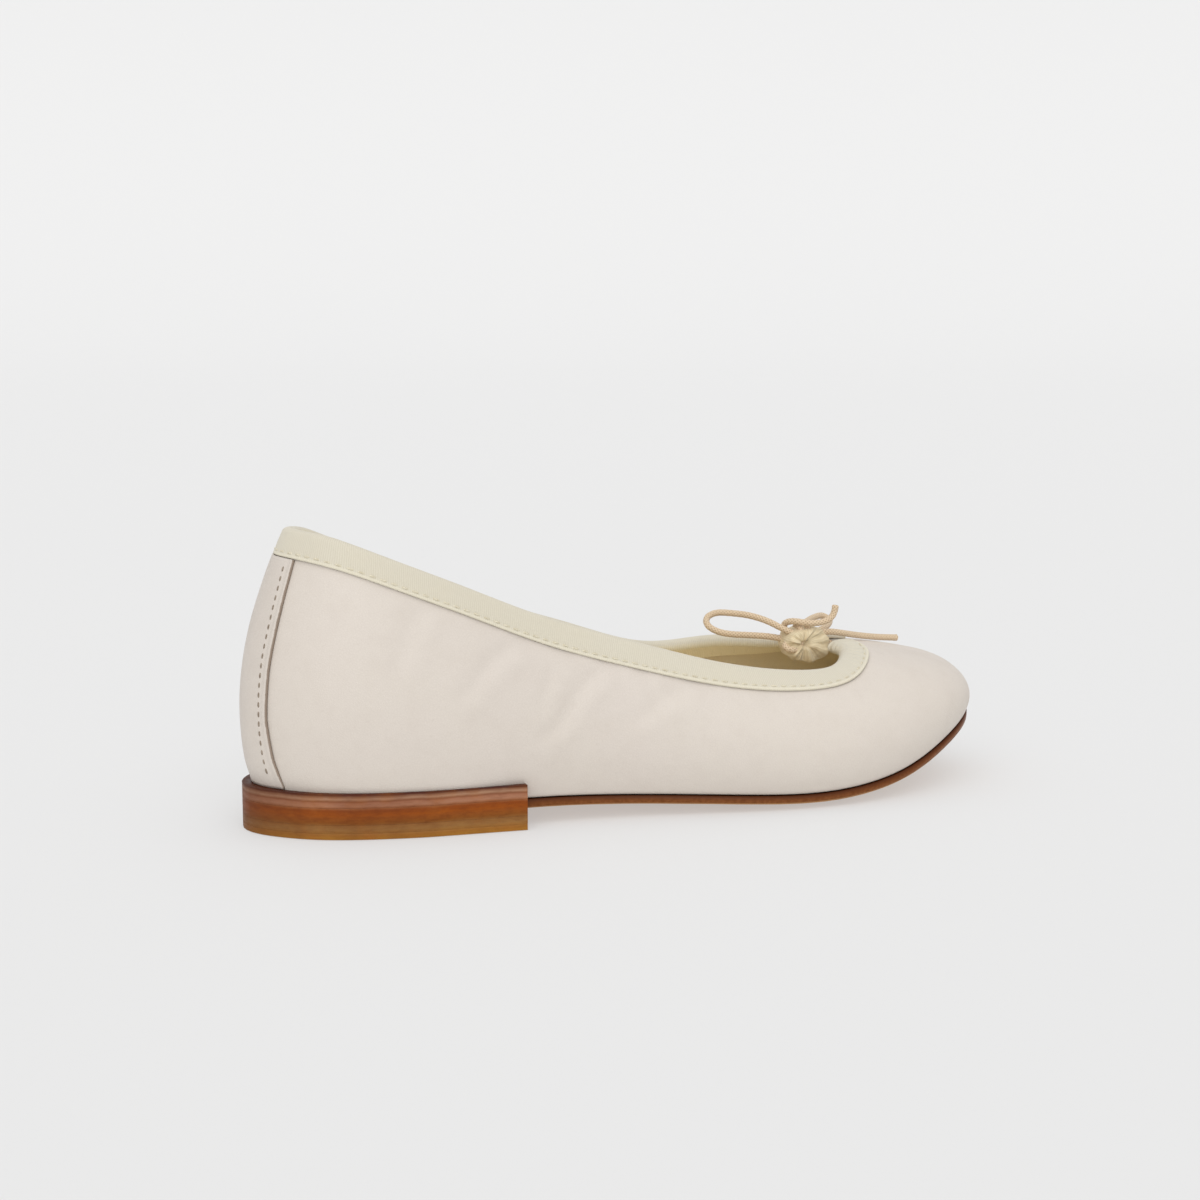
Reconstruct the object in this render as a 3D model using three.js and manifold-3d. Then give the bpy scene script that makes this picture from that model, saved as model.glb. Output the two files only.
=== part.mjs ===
// Ballet slipper, right foot. Millimetres, +X to the toe, -Y is the outer (lateral) side, +Z up.
// The shell surface S(t, v) runs once round the shoe in t (0 = back of the heel, 12 = toe, 24 = back again)
// and from the feather edge (v = 0) up to the topline (v = 1).
import * as THREE from 'three';
import { mergeVertices } from 'three/addons/utils/BufferGeometryUtils.js';
import Module from 'manifold-3d';

// ---------------------------------------------------------------- driving sizes
const SIZE = 1.04;               // grading from the pattern size to this size
const SHIFT_X = 116.722;         // pattern frame -> part frame (middle of length and width)
const SHIFT_Y = -0.925;
const LEATHER = 1.2;             // upper leather
const GAP = 0.3;                 // clearance between touching pieces
const LINING = 0.7;
const STIFF = 0.8;               // heel counter and toe puff
const TAPE = 0.7;                // binding tape
const TAPE_LEG = 6.5;            // tape below the topline
const TAPE_RISE = 1.95;          // tape fold above the topline
const CORD_R = 1.0;              // drawstring radius
const TOP_CUT = 1.6;             // raw leather edge below the topline, inside the tape fold
const SOLE = 2.4;                // outsole thickness
const SOLE_OUT = 0.5;            // outsole edge beyond the feather line
const BOARD = 1.8, PAD = 1.7, SOCK = 0.9;
const CROWN = 1.76;              // sole rounding, middle below the edges
const HEEL_TOP = 13.1;           // top of the heel rim
const HEEL_OUT = 1.1;            // heel rim beyond the upper at the sides
const HEEL_SEAT = 2.2;           // further step of the rim round the back
const HEEL_BREAST = 77.0, HEEL_BREAST_Y = 30.0;
const Z_TOP_PIECE = [0.0, 1.7], Z_LIFT_LOW = [2.0, 4.0], Z_LIFT_UP = [4.3, 8.9], Z_RAND = [9.2, HEEL_TOP];
const NAILS = [[10.5, 0], [18, -12.5], [18, 12.5], [36, -19], [36, 19], [60, -19.5], [60, 19.5]];
const NAIL_R = 0.9, NAIL_TOP = 3.8;

// station tables, station 0 = back of the heel ... 12 = toe: x, lateral half width, medial half width, z
const FEATHER = [
  [6.0, 0, 0, 9.8], [12.2, 11.0, 11.6, 10.2], [23.9, 19.3, 20.2, 10.1], [41.6, 24.2, 24.0, 9.2],
  [62.9, 26.0, 23.6, 8.3], [87.5, 25.6, 21.7, 7.7], [114.1, 28.2, 23.4, 6.6], [141.8, 33.5, 28.8, 5.2],
  [168.1, 36.2, 33.4, 4.55], [192.6, 33.8, 33.4, 8.0], [211.8, 26.2, 28.0, 14.8], [225.5, 14.6, 17.0, 20.1],
  [230.6, 0, 1.0, 22.1]];
const TOPLINE = [
  [16.0, 0, 0, 83.7], [20.2, 10.3, 10.5, 83.3], [28.6, 18.3, 18.3, 81.1], [43.7, 22.5, 22.6, 75.1],
  [62.8, 24.4, 24.3, 67.2], [84.8, 25.5, 24.9, 58.1], [109.3, 27.1, 25.9, 50.4], [133.4, 28.8, 27.5, 43.6],
  [154.8, 28.6, 27.5, 39.6], [172.6, 25.2, 24.4, 38.4], [182.3, 17.4, 17.3, 40.2], [186.5, 8.2, 9.1, 41.9],
  [185.4, 0, 0.2, 42.4]];
const MEDIAL_DZ = [0, -0.6, -1.5, -2.1, -2.4, -2.8, -3.4, -3.6, 0.9, 1.8, 0.8, 0.2, 0];   // inner side topline against the outer side
// wall shape: bulge and height of the lower handle, bulge and drop of the upper handle
const WALL = [
  [7.1, 27.3, 11.0, 24.9], [8.0, 26.9, 9.9, 25.1], [8.2, 25.4, 8.2, 24.3], [8.3, 22.9, 6.4, 21.4],
  [8.0, 19.7, 5.8, 18.5], [8.2, 16.8, 5.3, 15.6], [8.5, 13.9, 5.7, 12.6], [8.6, 12.1, 8.0, 10.5],
  [8.6, 11.5, 10.4, 8.9], [8.4, 12.6, 13.8, 6.9], [7.7, 13.2, 18.7, 3.4], [6.9, 13.7, 22.8, 1.5],
  [6.8, 13.6, 24.4, 0.5]];
const COUNTER_T = 11 / 3, COUNTER_V = 0.64;      // heel counter reach
const PUFF_T = 7 / 3, PUFF_V = 0.5;             // toe puff reach either side of the toe
const BACKSTAY_V = [0, 0.15, 0.3, 0.5, 0.7, 0.85, 1.0];
const BACKSTAY_T = [1.08, 0.86, 0.74, 0.72, 0.75, 0.77, 0.78];

// ---------------------------------------------------------------- splines and surface
function cyclic(rows) {
  const n = rows.length, w = rows[0].length;
  const A = [], R = [];
  for (let i = 0; i < n; i++) {
    const a = new Array(n).fill(0); a[i] = 4; a[(i + 1) % n] = 1; a[(i + n - 1) % n] = 1; A.push(a);
    R.push(rows[0].map((_, c) => 3 * (rows[(i + 1) % n][c] - rows[(i + n - 1) % n][c])));
  }
  for (let i = 0; i < n; i++) for (let j = 0; j < n; j++) if (j !== i && A[j][i] !== 0) {
    const f = A[j][i] / A[i][i];
    for (let k = 0; k < n; k++) A[j][k] -= f * A[i][k];
    for (let c = 0; c < w; c++) R[j][c] -= f * R[i][c];
  }
  const D = R.map((r, i) => r.map((x) => x / A[i][i]));
  return (t) => {
    t = ((t % n) + n) % n;
    const i = Math.floor(t) % n, j = (i + 1) % n, s = t - Math.floor(t), s2 = s * s, s3 = s2 * s;
    const a = 2 * s3 - 3 * s2 + 1, b = -2 * s3 + 3 * s2, c = s3 - 2 * s2 + s, d = s3 - s2;
    return rows[i].map((_, k) => rows[i][k] * a + rows[j][k] * b + D[i][k] * c + D[j][k] * d);
  };
}
function loop(tab, dz) {
  const out = [];
  for (let k = 0; k <= 12; k++) { const r = tab[k]; out.push([r[0], k === 0 ? 0 : k === 12 ? r[2] : -r[1], r[3]]); }
  for (let k = 11; k >= 1; k--) { const r = tab[k]; out.push([r[0], r[2], r[3] + (dz ? dz[k] : 0)]); }
  return out;
}
const fF = cyclic(loop(FEATHER)), fT = cyclic(loop(TOPLINE, MEDIAL_DZ));
const fW = cyclic([...WALL, ...WALL.slice(1, 12).reverse()]);
const sub = (a, b) => [a[0] - b[0], a[1] - b[1], a[2] - b[2]];
const add = (a, b, s = 1) => [a[0] + b[0] * s, a[1] + b[1] * s, a[2] + b[2] * s];
const unit = (a) => { const l = Math.hypot(...a); return a.map((x) => x / l); };
const cross = (a, b) => [a[1] * b[2] - a[2] * b[1], a[2] * b[0] - a[0] * b[2], a[0] * b[1] - a[1] * b[0]];
const lerp = (a, b, s) => a.map((x, i) => x + (b[i] - x) * s);
function planNormal(f, t) {
  const d = sub(f(t + 1e-3), f(t - 1e-3)), l = Math.hypot(d[0], d[1]);
  return [d[1] / l, -d[0] / l, 0];
}
function S(t, v) {
  const F = fF(t), T = fT(t), w = fW(t), o = planNormal(fF, t), q = planNormal(fT, t);
  const P1 = [F[0] + o[0] * w[0], F[1] + o[1] * w[0], F[2] + w[1]];
  const P2 = [T[0] + q[0] * w[2], T[1] + q[1] * w[2], T[2] - w[3]];
  const a = (1 - v) ** 3, b = 3 * v * (1 - v) ** 2, c = 3 * v * v * (1 - v), d = v ** 3;
  return F.map((_, i) => F[i] * a + P1[i] * b + P2[i] * c + T[i] * d);
}
function frameAt(t, v) {
  const a = sub(S(t + 1e-3, v), S(t - 1e-3, v));
  const b = sub(S(t, Math.min(1, v + 1e-3)), S(t, Math.max(0, v - 1e-3)));
  return { n: unit(cross(a, b)), up: unit(b) };
}
const off = (t, v, d) => add(S(t, v), frameAt(t, v).n, d);
function vDown(t, dist) {                       // v at a distance below the topline along the wall
  let p = S(t, 1), acc = 0;
  for (let i = 1; i <= 60; i++) {
    const v = 1 - i * 0.01, q = S(t, v), l = Math.hypot(...sub(p, q));
    if (acc + l >= dist) return v + 0.01 * (1 - (dist - acc) / l);
    acc += l; p = q;
  }
  return 0.4;
}
function vUp(t, h) {                            // v at a height above the feather edge
  const z0 = S(t, 0)[2]; let zp = z0;
  for (let i = 1; i <= 100; i++) {
    const v = i * 0.01, z = S(t, v)[2];
    if (z - z0 >= h) return v - 0.01 * (z - z0 - h) / (z - zp);
    zp = z;
  }
  return 0.2;
}
const smooth = (a, b, x) => { const s = Math.min(1, Math.max(0, (x - a) / (b - a))); return s * s * (3 - 2 * s); };

// ---------------------------------------------------------------- sole surface
const edgeTable = [];
for (let i = 0; i <= 240; i++) { const t = i / 20, a = fF(t), b = fF(24 - t); edgeTable.push([a[0], a[1], b[1], a[2]]); }
function edgeAt(x) {
  const T = edgeTable; let i = 0;
  while (i < T.length - 2 && T[i + 1][0] < x) i++;
  const s = Math.min(1, Math.max(0, (x - T[i][0]) / (T[i + 1][0] - T[i][0])));
  return lerp(T[i], T[i + 1], s);
}
function soleZ(x, y) {
  const e = edgeAt(x), mid = (e[1] + e[2]) / 2, half = Math.max(3, (e[2] - e[1]) / 2);
  const s = Math.min(1, Math.abs(y - mid) / half);
  const c = CROWN * smooth(70, 115, x) * (1 - 0.7 * smooth(200, 231, x));
  return e[3] - c * (1 - s * s);
}

// ---------------------------------------------------------------- mesh helpers
const group = new THREE.Group();
group.name = 'ballet_slipper';
function addMesh(name, geo, color, rough = 0.7, metal = 0) {
  geo.computeVertexNormals();
  const m = new THREE.Mesh(geo, new THREE.MeshStandardMaterial({ color, roughness: rough, metalness: metal }));
  m.name = name;
  group.add(m);
  return m;
}
function fromTris(verts, tris) {
  let vol = 0;
  for (const [a, b, c] of tris) {
    const p = verts[a], q = verts[b], r = verts[c];
    vol += p[0] * (q[1] * r[2] - q[2] * r[1]) - p[1] * (q[0] * r[2] - q[2] * r[0]) + p[2] * (q[0] * r[1] - q[1] * r[0]);
  }
  const idx = [];
  for (const [a, b, c] of tris) if (a !== b && b !== c && a !== c) vol > 0 ? idx.push(a, b, c) : idx.push(a, c, b);
  const g = new THREE.BufferGeometry();
  g.setAttribute('position', new THREE.Float32BufferAttribute(verts.flatMap((p) => [(p[0] - SHIFT_X) * SIZE, (p[1] - SHIFT_Y) * SIZE, p[2] * SIZE]), 3));
  g.setIndex(idx);
  return g;
}
// a strip with thickness: every section has an outer path and an inner path of the same length
function strip(sections, closed) {
  const p = sections[0].outer.length, m = 2 * p, n = sections.length, verts = [], tris = [];
  for (const s of sections) { for (const q of s.outer) verts.push(q); for (let i = p - 1; i >= 0; i--) verts.push(s.inner[i]); }
  const N = closed ? n : n - 1;
  for (let i = 0; i < N; i++) for (let j = 0; j < m; j++) {
    const a = i * m + j, b = i * m + (j + 1) % m, c = ((i + 1) % n) * m + (j + 1) % m, d = ((i + 1) % n) * m + j;
    tris.push([a, b, c], [a, c, d]);
  }
  if (!closed) for (const [i, flip] of [[0, true], [n - 1, false]]) for (let j = 0; j < p - 1; j++) {
    const a = i * m + j, b = a + 1, c = i * m + (m - 2 - j), d = i * m + (m - 1 - j);
    if (flip) tris.push([a, c, b], [a, d, c]); else tris.push([a, b, c], [a, c, d]);
  }
  return fromTris(verts, tris);
}
// a plate between the two sides of the outline; inset > 0 is inside the feather line
function plate(inset, zTop, zBot, t0 = 0, t1 = 12, n = 36, across = 4) {
  const rows = [];
  const edge = (t) => { const F = fF(t), o = planNormal(fF, t); return [F[0] - o[0] * inset, F[1] - o[1] * inset]; };
  for (let i = 0; i <= n; i++) {
    const t = t0 + (t1 - t0) * i / n, a = edge(t), b = edge(24 - t), row = [];
    const tip = Math.hypot(a[0] - b[0], a[1] - b[1]) < 1e-6;
    for (let j = 0; j <= across; j++) row.push(tip ? a : [a[0] + (b[0] - a[0]) * j / across, a[1] + (b[1] - a[1]) * j / across]);
    rows.push({ row, tip });
  }
  const verts = [], tris = [], top = [], bot = [];
  for (const { row, tip } of rows) {
    const tt = [], bb = [];
    row.forEach(([x, y], j) => {
      if (tip && j > 0) { tt.push(tt[0]); bb.push(bb[0]); return; }
      tt.push(verts.length); verts.push([x, y, zTop(x, y)]);
      bb.push(verts.length); verts.push([x, y, zBot(x, y)]);
    });
    top.push(tt); bot.push(bb);
  }
  const quad = (a, b, c, d) => { tris.push([a, b, c], [a, c, d]); };
  for (let i = 0; i < n; i++) {
    for (let j = 0; j < across; j++) {
      quad(top[i][j], top[i + 1][j], top[i + 1][j + 1], top[i][j + 1]);
      quad(bot[i][j], bot[i][j + 1], bot[i + 1][j + 1], bot[i + 1][j]);
    }
    quad(top[i][0], bot[i][0], bot[i + 1][0], top[i + 1][0]);
    quad(top[i][across], top[i + 1][across], bot[i + 1][across], bot[i][across]);
  }
  for (const [i, f] of [[0, 1], [n, 0]]) if (!rows[i].tip) for (let j = 0; j < across; j++) {
    if (f) quad(top[i][j], top[i][j + 1], bot[i][j + 1], bot[i][j]); else quad(top[i][j], bot[i][j], bot[i][j + 1], top[i][j + 1]);
  }
  return fromTris(verts, tris.filter(([a, b, c]) => a !== b && b !== c && a !== c));
}
// stacked closed rings, capped flat at both ends
function rings(list) {
  const n = list[0].length, verts = list.flat(), tris = [];
  for (let k = 0; k < list.length - 1; k++) for (let i = 0; i < n; i++) {
    const a = k * n + i, b = k * n + (i + 1) % n, c = a + n, d = b + n;
    tris.push([a, b, d], [a, d, c]);
  }
  const cap = (ring) => THREE.ShapeUtils.triangulateShape(ring.map((q) => new THREE.Vector2(q[0], q[1])), []);
  for (const f of cap(list[0])) tris.push([f[0], f[2], f[1]]);
  const o = (list.length - 1) * n;
  for (const f of cap(list[list.length - 1])) tris.push([o + f[0], o + f[1], o + f[2]]);
  return fromTris(verts, tris);
}
function tubeAlong(points, r, sides = 8, step = 2.0) {
  const curve = new THREE.CatmullRomCurve3(points.map((p) => new THREE.Vector3(...p)), false, 'centripetal');
  const n = Math.max(8, Math.round(curve.getLength() / step)), fr = curve.computeFrenetFrames(n, false), list = [];
  for (let i = 0; i <= n; i++) {
    const c = curve.getPointAt(i / n), ring = [];
    for (let j = 0; j < sides; j++) {
      const a = j / sides * Math.PI * 2;
      const q = c.clone().addScaledVector(fr.normals[i], Math.cos(a) * r).addScaledVector(fr.binormals[i], Math.sin(a) * r);
      ring.push([q.x, q.y, q.z]);
    }
    list.push(ring);
  }
  const verts = list.flat(), tris = [];
  for (let k = 0; k < list.length - 1; k++) for (let i = 0; i < sides; i++) {
    const a = k * sides + i, b = k * sides + (i + 1) % sides, c = a + sides, d = b + sides;
    tris.push([a, b, d], [a, d, c]);
  }
  for (let i = 1; i < sides - 1; i++) { tris.push([0, i + 1, i]); const o = (list.length - 1) * sides; tris.push([o, o + i, o + i + 1]); }
  return fromTris(verts, tris);
}
const wasm = await Module();
wasm.setup();
function solid(geo) {
  const g = geo.clone(); g.deleteAttribute('normal'); g.deleteAttribute('uv');
  const m = mergeVertices(g, 1e-5);
  return new wasm.Manifold(new wasm.Mesh({ numProp: 3, vertProperties: new Float32Array(m.attributes.position.array), triVerts: new Uint32Array(m.index.array) }));
}
function toGeo(man) {
  const m = man.getMesh(), g = new THREE.BufferGeometry();
  g.setAttribute('position', new THREE.Float32BufferAttribute(Array.from(m.vertProperties), 3));
  g.setIndex(Array.from(m.triVerts));
  return g;
}

// ---------------------------------------------------------------- shell layers
const STEP = 1 / 3, VS = [1, 0.9, 0.78, 0.64, 0.5, 0.36, 0.25, 0.16, 0.08, 0.03];
const stations = (a, b) => { const out = []; const n = Math.round((b - a) / STEP); for (let i = 0; i <= n; i++) out.push(a + (b - a) * i / n); return out; };
const margin = (t, inset, lift) => {
  const F = fF(t), o = planNormal(fF, t), x = F[0] - o[0] * inset, y = F[1] - o[1] * inset;
  return [x, y, soleZ(x, y) + lift];
};
// upper: wall from the topline down, round the feather edge and in under the insole
{
  const sec = [];
  for (let i = 0; i < 72; i++) {
    const t = i * STEP, outer = [], inner = [], vt = vDown(t, TOP_CUT);
    for (const v0 of VS) {
      const v = Math.min(v0, vt);
      if (v0 === 0.9 && vt < 0.93) { const w = (vt + 0.78) / 2; outer.push(off(t, w, 0)); inner.push(off(t, w, -LEATHER)); continue; }
      outer.push(off(t, v, 0)); inner.push(off(t, v, -LEATHER));
    }
    outer.push(S(t, 0)); inner.push(margin(t, 1.0, LEATHER));
    outer.push(margin(t, 4.5, 0)); inner.push(margin(t, 4.5, LEATHER));
    outer.push(margin(t, 9, 0)); inner.push(margin(t, 9, LEATHER));
    sec.push({ outer, inner });
  }
  addMesh('upper_leather', strip(sec, true), '#ddd3c8', 0.6);
}
const counterW = (t, v) => { const a = Math.min(((t % 24) + 24) % 24, 24 - ((t % 24) + 24) % 24); return (1 - smooth(COUNTER_T + 0.1, COUNTER_T + 1.1, a)) * (1 - smooth(COUNTER_V + 0.04, COUNTER_V + 0.22, v)); };
const puffW = (t, v) => { const a = Math.abs((((t % 24) + 24) % 24) - 12); return (1 - smooth(PUFF_T + 0.1, PUFF_T + 1.1, a)) * (1 - smooth(PUFF_V + 0.04, PUFF_V + 0.24, v)); };
const liningOut = (t, v) => LEATHER + GAP + (STIFF + GAP) * Math.max(counterW(t, v), puffW(t, v));
const LOW = 4.0;                                 // lower edge of the inner layers above the feather edge
function layer(ts, vs, dOut, dIn, closed = false) {
  return strip(ts.map((t) => {
    const outer = [], inner = [];
    for (const v of vs(t)) { outer.push(off(t, v, -dOut(t, v))); inner.push(off(t, v, -dIn(t, v))); }
    return { outer, inner };
  }), closed);
}
const liningV = (t) => { const vt = vDown(t, TOP_CUT), lo = vUp(t, LOW); return [vt, (vt + 0.78) / 2, 0.78, 0.64, 0.5, 0.36, 0.25, (lo + 0.25) / 2, lo]; };
const outD = liningOut, inD = (t, v) => liningOut(t, v) + LINING;
addMesh('quarter_lining', layer(stations(17, 31), liningV, outD, inD), '#c9b98f', 0.8);
addMesh('vamp_lining', layer([7.03, ...stations(22 / 3, 50 / 3), 16.97], liningV, outD, inD), '#d8cdb0', 0.9);
addMesh('heel_counter', layer(stations(24 - COUNTER_T, 24 + COUNTER_T), (t) => { const lo = vUp(t, LOW); return [COUNTER_V, 0.5, 0.36, 0.25, (lo + 0.25) / 2, lo]; }, () => LEATHER + GAP, () => LEATHER + GAP + STIFF), '#b59a6a', 0.8);
addMesh('toe_puff', layer(stations(12 - PUFF_T, 12 + PUFF_T), (t) => { const lo = vUp(t, LOW); return [PUFF_V, 0.36, 0.25, (lo + 0.25) / 2, lo]; }, () => LEATHER + GAP, () => LEATHER + GAP + STIFF), '#c8b48a', 0.8);

// ---------------------------------------------------------------- topline tape and drawstring
const LI = LEATHER + GAP + LINING;               // lining inner face near the topline
const NECK = 0.4;                               // half gap between the tape ends at the throat
const tapeStations = [12 + NECK, ...stations(38 / 3, 24 + 34 / 3), 24 + 12 - NECK];
function tapeSection(t) {
  const outer = [], inner = [];
  const legs = [TAPE_LEG, TAPE_LEG * 0.5, 0.6];
  for (const d of legs) { const v = vDown(t, d); outer.push(off(t, v, GAP + TAPE)); inner.push(off(t, v, GAP)); }
  const { n, up } = frameAt(t, 1), T = S(t, 1), m = (GAP + TAPE - (LI + GAP + TAPE)) / 2, a = (2 * (GAP + TAPE) + LI) / 2;
  for (const ang of [30, 60, 90, 120, 150]) {
    const c = Math.cos(ang * Math.PI / 180), s = Math.sin(ang * Math.PI / 180);
    outer.push(add(add(T, n, m + a * c), up, TAPE_RISE * s));
    inner.push(add(add(T, n, m + (a - TAPE) * c), up, (TAPE_RISE - TAPE) * s));
  }
  for (const d of [...legs].reverse()) { const v = vDown(t, d); outer.push(off(t, v, -(LI + GAP + TAPE))); inner.push(off(t, v, -(LI + GAP))); }
  return { outer, inner };
}
addMesh('binding_tape', strip(tapeStations.map(tapeSection), false), '#ddd6be', 0.9);
const foldCentre = (t) => { const { n, up } = frameAt(t, 1); return add(add(S(t, 1), n, -LI / 2), up, -0.12); };
{
  const pts = []; for (const t of [12.54, ...stations(38 / 3, 24 + 34 / 3), 35.46]) pts.push(foldCentre(t));
  addMesh('drawstring_in_tape', tubeAlong(pts, CORD_R, 6, 5.5), '#c4ad93', 0.8);
}

// ---------------------------------------------------------------- backstay
const backT = (v) => { let i = 0; while (i < BACKSTAY_V.length - 2 && BACKSTAY_V[i + 1] < v) i++; const s = (v - BACKSTAY_V[i]) / (BACKSTAY_V[i + 1] - BACKSTAY_V[i]); return BACKSTAY_T[i] + (BACKSTAY_T[i + 1] - BACKSTAY_T[i]) * s; };
{
  const n = 9, sec = [];
  const lo0 = 0.075;
  for (const f of [0, 1, 2, 3, 4, 5, 6, 7, 8]) {
    const outer = [], inner = [];
    for (let j = 0; j <= 8; j++) {
      const s = -1 + 2 * j / 8, hi = vDown(s * 0.95, TAPE_LEG + 0.35), v = hi + (lo0 - hi) * f / (n - 1), t = s * backT(v);
      outer.push(off(t, v, GAP + 0.8)); inner.push(off(t, v, GAP));
    }
    sec.push({ outer, inner });
  }
  addMesh('backstay', strip(sec, false), '#d2c6b8', 0.6);
}

// ---------------------------------------------------------------- sole layers
addMesh('outsole', plate(-SOLE_OUT, (x, y) => soleZ(x, y) - GAP, (x, y) => soleZ(x, y) - GAP - SOLE), '#7a4a2a', 0.5);
addMesh('bottom_filler', plate(9.5, (x, y) => soleZ(x, y) + LEATHER, (x, y) => soleZ(x, y), 0.6, 11.4, 30), '#b08d5c', 0.9);
addMesh('insole_board', plate(1.5, (x, y) => soleZ(x, y) + LEATHER + GAP + BOARD, (x, y) => soleZ(x, y) + LEATHER + GAP), '#a98b63', 0.9);
const zPad = LEATHER + 2 * GAP + BOARD;
addMesh('insole_foam', plate(3.2, (x, y) => soleZ(x, y) + zPad + PAD, (x, y) => soleZ(x, y) + zPad), '#e7dfcf', 0.9);
addMesh('sock_lining', plate(2.7, (x, y) => soleZ(x, y) + zPad + PAD + GAP + SOCK, (x, y) => soleZ(x, y) + zPad + PAD + GAP), '#d3c3a2', 0.7);

// ---------------------------------------------------------------- heel
function heelOutline() {
  const pts = [], n = 22, t1 = 3.4;
  for (let i = -n; i <= n; i++) {
    const t = t1 * i / n, v = vUp(t, HEEL_TOP - fF(t)[2]), p = S(t, v), q = S(t + 0.01, vUp(t + 0.01, HEEL_TOP - fF(t + 0.01)[2]));
    const d = [q[0] - p[0], q[1] - p[1]], l = Math.hypot(...d);
    const out = HEEL_OUT + HEEL_SEAT * (1 - smooth(0, 3, Math.abs(t)));
    pts.push([p[0] + d[1] / l * out, p[1] - d[0] / l * out]);
  }
  pts.push([HEEL_BREAST, -HEEL_BREAST_Y]);
  pts.unshift([HEEL_BREAST, HEEL_BREAST_Y - 1.2]);
  return pts;
}
const HEEL = heelOutline();
const block = (z0, z1) => rings([HEEL.map((p) => [p[0], p[1], z0]), HEEL.map((p) => [p[0], p[1], z1])]);
function pin(x, y, r, z0, z1, sides = 12) {
  const ring = (z) => Array.from({ length: sides }, (_, i) => [x + r * Math.cos(i / sides * 2 * Math.PI), y + r * Math.sin(i / sides * 2 * Math.PI), z]);
  return rings([ring(z0), ring(z1)]);
}
function cutAll(geo, cutters) { let s = solid(geo); for (const c of cutters) s = s.subtract(solid(c)); return toGeo(s); }
const holes = NAILS.map(([x, y]) => pin(x, y, NAIL_R + GAP, -1, NAIL_TOP + GAP));
addMesh('heel_top_piece', cutAll(block(...Z_TOP_PIECE), holes), '#b98a3c', 0.5);
addMesh('heel_lift_lower', cutAll(block(...Z_LIFT_LOW), holes), '#8a6a35', 0.5);
const bed = plate(-(SOLE_OUT + 0.4), () => 30, (x, y) => soleZ(x, y) - 2 * GAP - SOLE, 0, 12, 36, 4);
addMesh('heel_lift_upper', cutAll(block(...Z_LIFT_UP), [bed]), '#8a5026', 0.5);
{
  // the rim follows the wall of the upper
  const N = 72, list = [], ts = Array.from({ length: N }, (_, i) => i * 24 / N);
  list.push(ts.map((t) => { const F = fF(t), o = planNormal(fF, t); return [F[0] + o[0] * (SOLE_OUT + 0.4), F[1] + o[1] * (SOLE_OUT + 0.4), F[2] - 8]; }));
  list.push(ts.map((t) => { const F = fF(t), o = planNormal(fF, t); return [F[0] + o[0] * (SOLE_OUT + 0.4), F[1] + o[1] * (SOLE_OUT + 0.4), F[2] + 0.3]; }));
  for (const h of [1.5, 3, 5, 8]) list.push(ts.map((t) => off(t, vUp(t, h), GAP)));
  const flank = rings(list);
  addMesh('heel_rand', cutAll(block(...Z_RAND), [flank]), '#5a3020', 0.4);
}
NAILS.forEach(([x, y], i) => addMesh(`heel_nail_${i + 1}`, pin(x, y, NAIL_R, 0.15, NAIL_TOP), '#b99b5b', 0.35, 1));

// ---------------------------------------------------------------- bow: the two free ends of the drawstring
// One end makes the long loop and the tail on the vamp, the other wraps it, makes the small loop and the upright tail.
const WRAP_R = 4.0, WRAP_Z = 44.3;
const wrap = Array.from({ length: 17 }, (_, i) => {
  const s = i / 16, a = (-152 - 478 * s) * Math.PI / 180;
  return [173.7 + 3.7 * s, WRAP_R * Math.cos(a), WRAP_Z + WRAP_R * Math.sin(a)];
});
const CORD_LONG = [foldCentre(12.42), foldCentre(12.3), add(foldCentre(12.18), [-0.3, 0, 0.5]),
  [184.4, 1.2, 42.6], [182, 1.2, 43.1], [178, 1.2, 43.1], [174, 1.2, 43.1], [170, 2.3, 43.9], [166, 3.5, 44.6],
  [160.4, 4.8, 45.1], [154.6, 5.8, 45.6], [150.8, 7.2, 46.4], [148.4, 9.8, 48.1], [149.2, 12.2, 50.1],
  [152.6, 12.8, 51.3], [157, 11, 51.2], [161.4, 7.4, 50.8], [165.6, 3, 49.5], [169.4, -0.2, 47.4],
  [173.8, -1.2, 45.55], [178, -1.2, 45.5], [181.2, -1.2, 45.7], [184.2, -1.1, 45.8], [188, -0.6, 45.2],
  [192.5, 0.6, 44.2], [197, 1.6, 43.3], [203, 2.8, 42.3], [210.8, 4, 41.4]];
const CORD_WRAP = [foldCentre(35.58), foldCentre(35.7), add(foldCentre(35.82), [-0.3, 0, 0.5]),
  [184.4, -1.2, 42.6], [182, -1.2, 43.1], [178, -1.2, 43.1], [174.4, -1.2, 43.1], [171.8, -1.2, 43.1],
  [169.7, -1.6, 42.8], [168.8, -3.1, 42.1], [169.9, -4.5, 41.5], [171.8, -4.6, 41.3], ...wrap,
  [178.4, 2.8, 48.2], [181, 6.4, 48.2], [185.6, 10.8, 48.4], [189.6, 13.4, 48.2], [191.3, 12.5, 47.2],
  [189.3, 8.4, 46.5], [185.5, 3.7, 46.2], [182.2, 1.4, 45.8], [178, 1.2, 45.5], [174.6, 1.2, 45.5],
  [172.4, 1.8, 45.8], [171, 2.8, 46.9], [170.9, 2.4, 48.4], [172, -0.2, 49.6], [173.8, -2.9, 49.7],
  [176.9, -4.3, 49.3], [180, -4.8, 49.5], [182.8, -5, 50.3], [184.4, -5, 52], [184.8, -5, 54.4]];
addMesh('bow_cord_long_loop', tubeAlong(CORD_LONG, CORD_R, 6, 2.4), '#c9b294', 0.8);
addMesh('bow_cord_wrap_loop', tubeAlong(CORD_WRAP, CORD_R, 6, 1.7), '#c9b294', 0.8);
export default group;
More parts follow.
